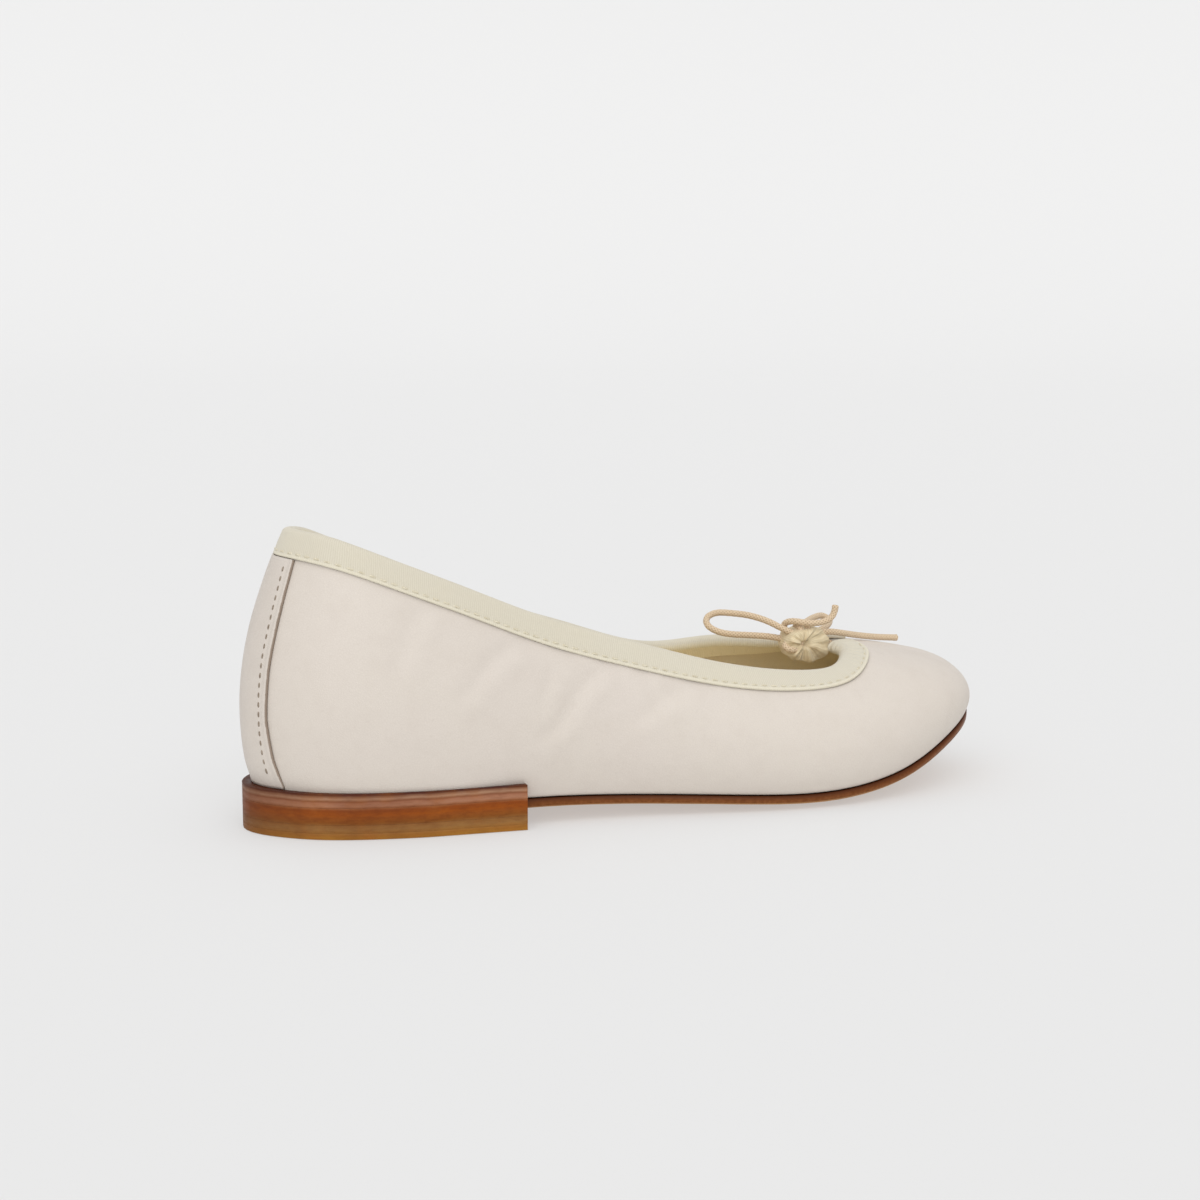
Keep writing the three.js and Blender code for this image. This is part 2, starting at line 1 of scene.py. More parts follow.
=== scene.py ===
import bpy, math
import numpy as np
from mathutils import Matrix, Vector


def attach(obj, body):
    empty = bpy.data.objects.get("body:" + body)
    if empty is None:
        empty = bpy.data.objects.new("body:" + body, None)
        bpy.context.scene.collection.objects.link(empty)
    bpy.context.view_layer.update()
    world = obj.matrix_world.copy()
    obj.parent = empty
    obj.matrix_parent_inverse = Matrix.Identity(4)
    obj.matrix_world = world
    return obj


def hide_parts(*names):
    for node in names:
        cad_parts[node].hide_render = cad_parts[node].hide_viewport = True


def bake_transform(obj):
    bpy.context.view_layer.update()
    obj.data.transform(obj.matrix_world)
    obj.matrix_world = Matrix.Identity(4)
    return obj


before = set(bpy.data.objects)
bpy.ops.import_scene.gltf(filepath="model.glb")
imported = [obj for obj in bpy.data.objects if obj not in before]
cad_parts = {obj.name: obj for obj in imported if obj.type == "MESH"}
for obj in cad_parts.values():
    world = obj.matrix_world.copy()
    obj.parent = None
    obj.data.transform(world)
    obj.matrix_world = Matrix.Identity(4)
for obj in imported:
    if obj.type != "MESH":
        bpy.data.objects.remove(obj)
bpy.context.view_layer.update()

# ---------------------------------------------------------------- camera first
cam_data = bpy.data.cameras.new("camera")
cam = bpy.data.objects.new("camera", cam_data)
bpy.context.scene.collection.objects.link(cam)
bpy.context.scene.camera = cam
cam_data.sensor_width = 36.0
cam_data.lens = 62.62
cam.location = (-0.22513, -0.59727, 0.16431)
cam.rotation_mode = "QUATERNION"
cam.rotation_quaternion = Vector((0.33769, 0.92778, -0.15871)).to_track_quat("-Z", "Y")
bpy.context.scene.view_settings.view_transform = "Standard"
bpy.context.scene.view_settings.look = "None"

# ---------------------------------------------------------------- the shoe's own frame, millimetres (as part.mjs)
SIZE, SX, SY = 1.04, 116.722, -0.925
def row(P):
    P = np.asarray(P, float)
    return (P - np.array([SX, SY, 0.0])) * SIZE / 1000.0
FEATHER = np.array([[6.0,0,0,9.8],[12.2,11.0,11.6,10.2],[23.9,19.3,20.2,10.1],[41.6,24.2,24.0,9.2],[62.9, 26.0, 23.6, 8.3], [87.5, 25.6, 21.7, 7.7], [114.1, 28.2, 23.4, 6.6], [141.8, 33.5, 28.8, 5.2],[168.1,36.2,33.4,4.55],[192.6,33.8,33.4,8.0],[211.8,26.2,28.0,14.8],[225.5,14.6,17.0,20.1],[230.6,0,1.0,22.1]])
TOPLINE = np.array([[16.0,0,0,83.7],[20.2,10.3,10.5,83.3],[28.6,18.3,18.3,81.1],[43.7,22.5,22.6,75.1],[62.8,24.4,24.3,67.2],[84.8,25.5,24.9,58.1],[109.3,27.1,25.9,50.4],[133.4,28.8,27.5,43.6],[154.8,28.6,27.5,39.6],[172.6,25.2,24.4,38.4],[182.3,17.4,17.3,40.2],[186.5,8.2,9.1,41.9],[185.4,0,0.2,42.4]])
MEDIAL_DZ = [0,-0.6,-1.5,-2.1,-2.4,-2.8,-3.4,-3.6,0.9,1.8,0.8,0.2,0]
WALL = np.array([[7.1,27.3,11.0,24.9],[8.0,26.9,9.9,25.1],[8.2,25.4,8.2,24.3],[8.3,22.9,6.4,21.4],[8.0,19.7,5.8,18.5],[8.2,16.8,5.3,15.6],[8.5,13.9,5.7,12.6],[8.6,12.1,8.0,10.5],[8.6,11.5,10.4,8.9],[8.4,12.6,13.8,6.9],[7.7,13.2,18.7,3.4],[6.9,13.7,22.8,1.5],[6.8,13.6,24.4,0.5]])
LEATHER, GAP, LINING, STIFF, TAPE = 1.2, 0.3, 0.7, 0.8, 0.7
TAPE_LEG, TAPE_RISE, CORD_R, TOP_CUT = 6.5, 1.95, 1.0, 1.6
SOLE, SOLE_OUT, BOARD, PAD, SOCK, CROWN = 2.4, 0.5, 1.8, 1.7, 0.9, 1.76
LI = LEATHER + GAP + LINING

def cyclic(y):
    y = np.asarray(y, float); n = len(y)
    A = np.zeros((n, n))
    for i in range(n):
        A[i, i] = 4; A[i, (i + 1) % n] = 1; A[i, (i - 1) % n] = 1
    D = np.linalg.solve(A, 3 * (np.roll(y, -1, 0) - np.roll(y, 1, 0)))
    def f(t):
        t = np.asarray(t, float) % n
        i = np.floor(t).astype(int) % n; s = (t - np.floor(t))[..., None]; j = (i + 1) % n
        return y[i]*(2*s**3-3*s**2+1) + y[j]*(-2*s**3+3*s**2) + D[i]*(s**3-2*s**2+s) + D[j]*(s**3-s**2)
    return f
def loop(tab, dz=None):
    p = []
    for k in range(13):
        r = tab[k]; p.append((r[0], 0.0 if k == 0 else (r[2] if k == 12 else -r[1]), r[3]))
    for k in range(11, 0, -1):
        r = tab[k]; p.append((r[0], r[2], r[3] + (dz[k] if dz else 0)))
    return p
fF, fT = cyclic(loop(FEATHER)), cyclic(loop(TOPLINE, MEDIAL_DZ))
fW = cyclic(np.concatenate([WALL, WALL[1:12][::-1]]))
def plan_n(f, t):
    d = (f(t + 1e-3) - f(t - 1e-3))[..., :2]
    n = np.stack([d[..., 1], -d[..., 0]], -1)
    return n / np.linalg.norm(n, axis=-1, keepdims=True)
def S(t, v):
    t, v = np.broadcast_arrays(np.asarray(t, float), np.asarray(v, float))
    F, T, w = fF(t), fT(t), fW(t)
    P1, P2 = F.copy(), T.copy()
    P1[..., :2] += plan_n(fF, t) * w[..., 0:1]; P1[..., 2] += w[..., 1]
    P2[..., :2] += plan_n(fT, t) * w[..., 2:3]; P2[..., 2] -= w[..., 3]
    v = v[..., None]
    return F*(1-v)**3 + 3*P1*v*(1-v)**2 + 3*P2*v*v*(1-v) + T*v**3
def frame_at(t, v):
    a = S(t + 1e-3, v) - S(t - 1e-3, v)
    b = S(t, np.minimum(1, v + 1e-3)) - S(t, np.maximum(0, v - 1e-3))
    n = np.cross(a, b)
    return n / np.linalg.norm(n, axis=-1, keepdims=True), b / np.linalg.norm(b, axis=-1, keepdims=True)
def off(t, v, d):
    t, v = np.broadcast_arrays(np.asarray(t, float), np.asarray(v, float))
    d = np.broadcast_to(np.asarray(d, float), t.shape)
    return S(t, v) + frame_at(t, v)[0] * d[..., None]
def v_down(t, dist):
    t = np.atleast_1d(np.asarray(t, float)); vs = np.linspace(1, 0.4, 61)
    G = S(t[:, None], vs[None]); c = np.concatenate([np.zeros((len(t), 1)), np.cumsum(np.linalg.norm(np.diff(G, axis=1), axis=-1), 1)], 1)
    dist = np.broadcast_to(np.asarray(dist, float), (len(t),))
    return np.array([np.interp(dist[i], c[i], vs) for i in range(len(t))])
def v_up(t, h):
    t = np.atleast_1d(np.asarray(t, float)); vs = np.linspace(0, 1, 101)
    Z = S(t[:, None], vs[None])[..., 2]; h = np.broadcast_to(np.asarray(h, float), (len(t),))
    out = []
    for i in range(len(t)):
        z = Z[i] - Z[i, 0]; k = int(np.argmax(z >= h[i])) or 1
        out.append(vs[k-1] + (h[i] - z[k-1]) / (z[k] - z[k-1]) * 0.01)
    return np.array(out)
def smooth(a, b, x):
    s = np.clip((np.asarray(x, float) - a) / (b - a), 0, 1); return s*s*(3-2*s)
_ts = np.linspace(0, 12, 481); _a, _b = fF(_ts), fF(24 - _ts)
def sole_z(x, y):
    x = np.asarray(x, float)
    yl, ym, z = np.interp(x, _a[:, 0], _a[:, 1]), np.interp(x, _a[:, 0], _b[:, 1]), np.interp(x, _a[:, 0], _a[:, 2])
    half = np.maximum(3, (ym - yl) / 2); s = np.minimum(1, np.abs(y - (yl + ym) / 2) / half)
    return z - CROWN * smooth(70, 115, x) * (1 - 0.7 * smooth(200, 231, x)) * (1 - s*s)

# ---------------------------------------------------------------- seeded noise
_rng = np.random.default_rng(7)
_perm = np.concatenate([_rng.permutation(256)] * 3)
_grad = _rng.normal(size=(256, 3)); _grad /= np.linalg.norm(_grad, axis=1)[:, None]
def noise(P):
    P = np.asarray(P, float); i = np.floor(P).astype(int); f = P - i; i &= 255
    u = f*f*f*(f*(f*6-15)+10); out = 0
    for dx in (0, 1):
        for dy in (0, 1):
            for dz in (0, 1):
                h = _perm[_perm[_perm[(i[..., 0]+dx) & 255] + ((i[..., 1]+dy) & 255)] + ((i[..., 2]+dz) & 255)]
                g = _grad[h]; d = f - np.array([dx, dy, dz])
                w = (u[..., 0] if dx else 1-u[..., 0]) * (u[..., 1] if dy else 1-u[..., 1]) * (u[..., 2] if dz else 1-u[..., 2])
                out = out + w * (g * d).sum(-1)
    return out

# ---------------------------------------------------------------- mesh helpers
def make(name, verts, faces, mat, uv=None, smooth_faces=True):
    me = bpy.data.meshes.new(name)
    me.from_pydata([tuple(p) for p in verts], [], [tuple(int(a) for a in f) for f in faces])
    if uv is not None:
        lay = me.uv_layers.new(name="UVMap")
        li = np.empty(len(me.loops), int); me.loops.foreach_get("vertex_index", li)
        lay.data.foreach_set("uv", np.asarray(uv, float)[li].ravel())
    me.polygons.foreach_set("use_smooth", np.full(len(me.polygons), smooth_faces))
    me.materials.append(mat); me.validate(); me.update()
    ob = bpy.data.objects.new(name, me); bpy.context.scene.collection.objects.link(ob)
    return ob
def orient(verts, faces):
    V = np.asarray(verts); tot = 0.0
    for f in faces:
        p = V[list(f)]
        for k in range(1, len(f) - 1): tot += float(np.dot(p[0], np.cross(p[k], p[k+1])))
    return faces if tot > 0 else [tuple(reversed(f)) for f in faces]
def loft(sec, closed, uv=None):
    """sec: (n, m, 3) closed sections; returns verts, faces (with strip caps when open)"""
    n, m = sec.shape[:2]; V = sec.reshape(-1, 3); F = []
    I = np.arange(n if closed else n - 1)
    for j in range(m):
        k = (j + 1) % m
        a, b = I * m + j, I * m + k; c, d = ((I + 1) % n) * m + k, ((I + 1) % n) * m + j
        F += list(map(tuple, np.stack([a, b, c, d], -1)))
    if not closed:
        h = m // 2
        for j in range(h - 1):
            F.append((j, m - 1 - j, m - 2 - j, j + 1))
            o = (n - 1) * m
            F.append((o + j, o + j + 1, o + m - 2 - j, o + m - 1 - j))
    return V, F
def shell(name, outer, inner, closed, mat, uvo=None, body="shoe", node=None):
    sec = np.concatenate([outer, inner[:, ::-1]], 1)
    V, F = loft(row(sec), closed); F = orient(V, F)
    uv = None if uvo is None else np.concatenate([uvo, uvo[:, ::-1]], 1).reshape(-1, 2)
    ob = make(name, V, F, mat, uv)
    if node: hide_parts(*([node] if isinstance(node, str) else node))
    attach(ob, body)
    return ob
def tube(name, path, r, mat, sides=16, body="shoe", node=None, cap=3, strand=0.05, pitch=5.5, flare=0.0):
    """round cord along path (mm), with a shallow three-strand lay"""
    P = np.asarray(path, float); n = len(P)
    T = np.gradient(P, axis=0); T /= np.linalg.norm(T, axis=1)[:, None]
    N = np.zeros_like(P); a = np.cross(T[0], [0, 0, 1.0]); N[0] = a / np.linalg.norm(a)
    for i in range(1, n):
        q = N[i-1] - T[i] * np.dot(N[i-1], T[i]); N[i] = q / np.linalg.norm(q)
    B = np.cross(T, N)
    s = np.concatenate([[0], np.cumsum(np.linalg.norm(np.diff(P, axis=0), axis=1))])
    ph = np.arange(sides) / sides * 2 * np.pi
    rr = r * (1 - strand * (1 - np.abs(np.cos(1.5 * (ph[None] - s[:, None] * 2 * np.pi / pitch)))) ** 1.0)
    e = np.minimum(s, s[-1] - s)
    rr = rr * (1 + flare * np.exp(-(s[-1] - s[:, None]) / 1.2))
    ring = P[:, None] + rr[..., None] * (np.cos(ph)[None, :, None] * N[:, None] + np.sin(ph)[None, :, None] * B[:, None])
    rows, uvr = [], []
    for k in range(cap, 0, -1):
        c = k / (cap + 0.0) ; f = math.sqrt(max(0.0, 1 - c * c)) if k < cap else 0.02
        rows.append(P[0] + (ring[0] - P[0]) * (f * 0.96) - T[0] * r * 0.35 * c); uvr.append(-0.3 * c)
    for i in range(n): rows.append(ring[i]); uvr.append(s[i])
    for k in range(1, cap + 1):
        c = k / (cap + 0.0); f = math.sqrt(max(0.0, 1 - c * c)) if k < cap else 0.02
        rows.append(P[-1] + (ring[-1] - P[-1]) * (f * 0.96) + T[-1] * r * 0.35 * c); uvr.append(s[-1] + 0.3 * c)
    G = np.array(rows); m = sides; V = row(G.reshape(-1, 3)); F = []
    for i in range(len(G) - 1):
        for j in range(m):
            k = (j + 1) % m; F.append((i*m+j, i*m+k, (i+1)*m+k, (i+1)*m+j))
    F.append(tuple(range(m))[::-1]); o = (len(G) - 1) * m; F.append(tuple(o + j for j in range(m)))
    F = orient(V, F)
    uv = np.stack([np.repeat(np.array(uvr)[:, None], m, 1), np.repeat((np.abs(ph - np.pi) / np.pi)[None], len(G), 0) * r * np.pi], -1).reshape(-1, 2) / 1000
    ob = make(name, V, F, mat, uv)
    if node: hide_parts(node)
    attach(ob, body)
    return ob
def stitches(name, A, B, N, mat, w=0.34, body="shoe", lift=0.12):
    """one small rounded thread for every pair of ends A -> B, lying on a surface with normal N (mm)"""
    V, F = [], []
    m, rings = 6, ((-0.5, 0.25), (-0.42, 0.75), (-0.2, 1.0), (0.2, 1.0), (0.42, 0.75), (0.5, 0.25))
    for a, b, nn in zip(A, B, N):
        d = b - a; L = np.linalg.norm(d); t = d / L; s = np.cross(nn, t); s /= np.linalg.norm(s); u = np.cross(t, s); o = len(V); c = (a + b) / 2 + nn * lift
        for q, f in rings:
            sink = -0.28 * (abs(q) / 0.5) ** 2
            for j in range(m):
                ph = j / m * 2 * math.pi
                V.append(c + t * q * L + s * math.cos(ph) * w * f + u * (math.sin(ph) * w * 0.8 * f + sink))
        for i in range(len(rings) - 1):
            for j in range(m):
                k = (j + 1) % m; F.append((o+i*m+j, o+i*m+k, o+(i+1)*m+k, o+(i+1)*m+j))
        F.append(tuple(o + j for j in range(m))[::-1]); e = o + (len(rings)-1)*m; F.append(tuple(e + j for j in range(m)))
    V = row(np.array(V)); F = orient(V, F)
    ob = make(name, V, F, mat)
    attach(ob, body)
    return ob

# ---------------------------------------------------------------- materials
def srgb(r, g, b):
    return tuple(((c/255)/12.92 if c/255 <= 0.04045 else ((c/255+0.055)/1.055)**2.4) for c in (r, g, b)) + (1.0,)
def ink(r, g, b):
    c = srgb(r, g, b); return tuple(max(0.0015, (q - 0.010)) for q in c[:3]) + (1.0,)
class Mat:
    def __init__(self, name, rough=0.5, spec=0.5, sheen=0.0, coat=0.0, metal=0.0, sheen_rough=0.5, coat_rough=0.2):
        self.m = bpy.data.materials.new(name); self.m.use_nodes = True
        self.t = self.m.node_tree; self.n = self.t.nodes; self.b = self.n["Principled BSDF"]
        i = self.b.inputs; i["Roughness"].default_value = rough; i["Specular IOR Level"].default_value = spec
        i["Sheen Weight"].default_value = sheen; i["Sheen Roughness"].default_value = sheen_rough
        i["Coat Weight"].default_value = coat; i["Coat Roughness"].default_value = coat_rough; i["Metallic"].default_value = metal
        self.obj = self.node("ShaderNodeTexCoord").outputs["Object"]
    def node(self, kind, **kw):
        x = self.n.new(kind)
        for k, v in kw.items(): setattr(x, k, v)
        return x
    def link(self, a, b): self.t.links.new(a, b)
    def noise(self, scale, detail=4, rough=0.55, vec=None, distortion=0.0):
        x = self.node("ShaderNodeTexNoise"); x.inputs["Scale"].default_value = scale; x.inputs["Detail"].default_value = detail
        x.inputs["Roughness"].default_value = rough; x.inputs["Distortion"].default_value = distortion
        self.link(vec or self.obj, x.inputs["Vector"]); return x.outputs["Fac"]
    def voronoi(self, scale, feature="F1", vec=None, rand=1.0):
        x = self.node("ShaderNodeTexVoronoi", feature=feature); x.inputs["Scale"].default_value = scale; x.inputs["Randomness"].default_value = rand
        self.link(vec or self.obj, x.inputs["Vector"]); return x.outputs["Distance"]
    def ramp(self, fac, stops):
        x = self.node("ShaderNodeValToRGB"); r = x.color_ramp
        while len(r.elements) < len(stops): r.elements.new(0.5)
        for e, (p, c) in zip(r.elements, stops): e.position = p; e.color = c if len(c) == 4 else tuple(c) + (1,)
        self.link(fac, x.inputs["Fac"]); return x.outputs["Color"]
    def math(self, op, a, b=None, c=None, clamp=False):
        x = self.node("ShaderNodeMath", operation=op, use_clamp=clamp)
        for k, v in enumerate((a, b, c)):
            if v is None: continue
            if isinstance(v, (int, float)): x.inputs[k].default_value = v
            else: self.link(v, x.inputs[k])
        return x.outputs[0]
    def mix(self, fac, a, b, mode="MIX"):
        x = self.node("ShaderNodeMix", data_type="RGBA", blend_type=mode)
        if isinstance(fac, (int, float)): x.inputs[0].default_value = fac
        else: self.link(fac, x.inputs[0])
        for k, v in ((6, a), (7, b)):
            if isinstance(v, tuple): x.inputs[k].default_value = v
            else: self.link(v, x.inputs[k])
        return x.outputs[2]
    def sep(self, vec):
        x = self.node("ShaderNodeSeparateXYZ"); self.link(vec, x.inputs[0]); return x.outputs
    def uv(self):
        return self.node("ShaderNodeTexCoord").outputs["UV"]
    def color(self, c): self.link(c, self.b.inputs["Base Color"])
    def rough(self, c): self.link(c, self.b.inputs["Roughness"])
    def bump(self, h, dist, strength=1.0):
        x = self.node("ShaderNodeBump"); x.inputs["Strength"].default_value = strength; x.inputs["Distance"].default_value = dist
        self.link(h, x.inputs["Height"])
        prev = self.b.inputs["Normal"]
        if prev.is_linked: self.link(prev.links[0].from_socket, x.inputs["Normal"])
        self.link(x.outputs["Normal"], self.b.inputs["Normal"])
    def range(self, v, a, b, c, d):
        x = self.node("ShaderNodeMapRange"); self.link(v, x.inputs[0])
        for k, q in enumerate((a, b, c, d)): x.inputs[k+1].default_value = q
        return x.outputs[0]

def leather(name, base, tint, dark, rough=0.5, grain=1500, spec=0.4, bump=0.00006, spread=0.5):
    m = Mat(name, rough=rough, spec=spec)
    big = m.noise(26, 3, 0.5); mid = m.noise(140, 4, 0.6); cell = m.voronoi(grain, "DISTANCE_TO_EDGE"); fine = m.noise(grain * 2.2, 3, 0.6)
    c = m.mix(m.range(big, 0.35, 0.65, 0, spread), base, tint)
    c = m.mix(m.range(mid, 0.46, 0.78, 0, 0.16), c, dark)
    # painted shade: the leather is darkened along the grain-cell borders, where the grain bump dips
    painted_grain_shade = m.range(cell, 0.0, 0.12, 0.22, 0.0)
    c = m.mix(painted_grain_shade, c, dark)
    m.color(c)
    m.rough(m.range(mid, 0.3, 0.7, rough - 0.05, rough + 0.07))
    m.bump(m.range(cell, 0.0, 0.35, 0.0, 1.0), bump, 0.5)
    m.bump(fine, bump * 0.7, 0.35)
    m.bump(mid, bump * 2.0, 0.2)
    return m

M_UPPER = leather("upper_leather_look", srgb(215, 206, 197), srgb(216, 208, 197), srgb(194, 183, 172), rough=0.52)
M_BACK = leather("backstay_leather_look", srgb(211, 202, 193), srgb(213, 205, 195), srgb(188, 178, 168), rough=0.5)
# darkens the strip within about a third of a millimetre of its edge: partly the raw cut edge's own colour, partly
# painted shade of the gap where the strip steps off the upper
def raw_edge_and_painted_shade(m, width, dark):
    link = m.b.inputs["Base Color"].links[0].from_socket
    e = m.math("ADD", m.sep(m.uv())[0], m.math("MULTIPLY", m.math("SUBTRACT", m.noise(900, 3), 0.5), 0.0003))
    m.color(m.mix(m.range(e, width * 0.55, width * 1.15, 1.0, 0.0), link, dark))
# backstay strip edge: raw-edge colour plus painted shadow-gap shade
raw_edge_and_painted_shade(M_BACK, 0.00032, srgb(146, 130, 116))
M_LINING = leather("lining_leather_look", srgb(242, 230, 196), srgb(238, 224, 188), srgb(218, 200, 162), rough=0.6, grain=1100, spec=0.3)
M_SOCK = leather("sock_leather_look", srgb(228, 210, 176), srgb(222, 203, 168), srgb(194, 172, 136), rough=0.55, grain=1000, spec=0.35)

def twill(name, base, dark):
    m = Mat(name, rough=0.88, spec=0.25, sheen=0.15)
    s = m.sep(m.uv()); a = m.math("MULTIPLY", m.math("ADD", s[0], s[1]), 5200.0); b = m.math("MULTIPLY", m.math("SUBTRACT", s[0], s[1]), 11000.0)
    h = m.math("ADD", m.math("MULTIPLY", m.math("SINE", a), 0.5), m.math("MULTIPLY", m.math("SINE", b), 0.25))
    fuzz = m.noise(2600, 3)
    # painted shade: darker in the twill's grooves (low h), mixed with random fibre tone
    m.color(m.mix(m.range(m.math("ADD", h, m.math("MULTIPLY", fuzz, 0.6)), -0.6, 1.1, 0.85, 0.0), base, dark))
    m.bump(h, 0.00012, 0.6); m.bump(fuzz, 0.00008, 0.3)
    return m
M_TWILL = twill("vamp_lining_cloth_look", srgb(246, 234, 200), srgb(214, 196, 158))

def tape_look():
    m = Mat("binding_tape_look", rough=0.82, spec=0.25, sheen=0.25)
    s = m.sep(m.uv()); u, v = s[0], s[1]
    wob = m.math("MULTIPLY", m.noise(300, 2), 0.0004)
    rib = m.math("SINE", m.math("MULTIPLY", m.math("ADD", u, wob), 2 * math.pi / 0.00062))
    weft = m.math("SINE", m.math("MULTIPLY", v, 2 * math.pi / 0.00042))
    h = m.math("ADD", m.math("MULTIPLY", rib, 0.5), m.math("MULTIPLY", m.math("MULTIPLY", weft, rib), 0.22))
    fuzz = m.noise(3000, 3); big = m.noise(60, 3)
    # painted shade: darker in the rib valleys (low h), mixed with random fibre tone
    c = m.mix(m.range(m.math("ADD", h, m.math("MULTIPLY", fuzz, 0.7)), -0.3, 1.0, 0.5, 0.0), srgb(217, 211, 195), srgb(192, 184, 163))
    c = m.mix(m.range(big, 0.35, 0.7, 0, 0.4), c, srgb(212, 204, 184))
    # painted highlight: a lighter line along the rolled lower edge (selvage bead) of the outer leg
    edge = m.range(v, 0.0004, 0.0010, 0.75, 0.0)
    c = m.mix(edge, c, srgb(226, 219, 198))
    # painted light: the inner half of the fold and the inner leg are painted a brighter cream, standing in for light
    # reaching the tape inside the shoe
    c = m.mix(m.range(v, 0.0105, 0.0135, 0.0, 0.95), c, srgb(252, 240, 200))
    m.color(c)
    m.bump(h, 0.00010, 0.6); m.bump(fuzz, 0.00006, 0.35)
    return m
M_TAPE = tape_look()
def gather_look():
    m = Mat("gathered_tape_look", rough=0.85, spec=0.2, sheen=0.2)
    s = m.sep(m.uv()); rib = m.math("SINE", m.math("MULTIPLY", s[0], 2 * math.pi / 0.0007)); fuzz = m.noise(3000, 3); big = m.noise(330, 3)
    # painted shade: darker in the rib valleys (low rib), mixed with random fibre tone
    c = m.mix(m.range(m.math("ADD", rib, m.math("MULTIPLY", fuzz, 0.8)), -0.4, 1.4, 0.4, 0.0), srgb(226, 212, 180), srgb(200, 180, 144))
    c = m.mix(m.range(big, 0.45, 0.7, 0.0, 0.5), c, srgb(206, 182, 142))
    m.color(c); m.bump(rib, 0.00008, 0.5); m.bump(fuzz, 0.00005, 0.3)
    return m
M_GATHER = gather_look()
def cord_look(name, base, dark):
    m = Mat(name, rough=0.75, spec=0.3, sheen=0.15)
    s = m.sep(m.uv()); k = 2 * math.pi / 0.0011
    a = m.math("SINE", m.math("MULTIPLY", m.math("ADD", s[0], s[1]), k)); b = m.math("SINE", m.math("MULTIPLY", m.math("SUBTRACT", s[0], s[1]), k))
    h = m.math("MULTIPLY", m.math("MAXIMUM", a, b), 1.0)
    fuzz = m.noise(2500, 3)
    # painted shade: darker in the grooves between the braid's strands (low h), mixed with random fibre tone
    c = m.mix(m.range(m.math("ADD", h, m.math("MULTIPLY", fuzz, 0.5)), -0.4, 1.2, 0.75, 0.0), base, dark)
    m.color(c); m.bump(h, 0.00010, 0.7); m.bump(fuzz, 0.00005, 0.3)
    return m
M_CORD = cord_look("cord_look", srgb(224, 202, 172), srgb(172, 144, 110))
def thread(name, c1, c2):
    m = Mat(name, rough=0.7, spec=0.3); m.color(m.mix(m.range(m.noise(1800, 3), 0.35, 0.65, 0, 1), c1, c2)); m.bump(m.noise(6000, 2), 0.00004, 0.5); return m
M_THREAD = thread("tape_thread_look", srgb(226, 219, 198), srgb(200, 190, 165))
# dark greyish-brown backstay thread: partly the thread's colour, partly painted shade of the stitch holes
M_BACKSTAY_THREAD_AND_HOLE_SHADE = thread("backstay_thread_and_painted_hole_shade_look", srgb(158, 145, 130), srgb(128, 114, 100))

def sole_look():
    m = Mat("outsole_leather_look", rough=0.5, spec=0.18)
    o = m.sep(m.obj); geo = m.node("ShaderNodeNewGeometry"); nz = m.sep(geo.outputs["Normal"])[2]
    grain = m.noise(900, 5, 0.65); big = m.noise(45, 4); cell = m.voronoi(1400, "DISTANCE_TO_EDGE")
    st = m.node("ShaderNodeMapping"); st.inputs["Scale"].default_value = (60, 600, 60); m.link(m.obj, st.inputs["Vector"])
    scuff = m.noise(1.0, 5, 0.7, vec=st.outputs["Vector"])
    nat = m.mix(m.range(big, 0.35, 0.7, 0, 0.6), srgb(190, 146, 98), srgb(168, 122, 76))
    nat = m.mix(m.range(scuff, 0.55, 0.8, 0, 0.35), nat, srgb(140, 98, 60))
    foot = m.uv(); rim = m.range(m.sep(foot)[1], 0.0002, 0.0016, 1.0, 0.0)
    edge = m.mix(m.range(grain, 0.35, 0.65, 0, 1), ink(112, 66, 34), ink(132, 82, 48))
    edge = m.mix(rim, edge, ink(84, 46, 26))
    down = m.range(nz, -0.75, -0.45, 0.0, 1.0)
    m.color(m.mix(down, nat, edge))
    m.rough(m.range(down, 0, 1, 0.62, 0.42))
    m.bump(cell, 0.00005, 0.35); m.bump(scuff, 0.00006, 0.4)
    return m
M_SOLE = sole_look()
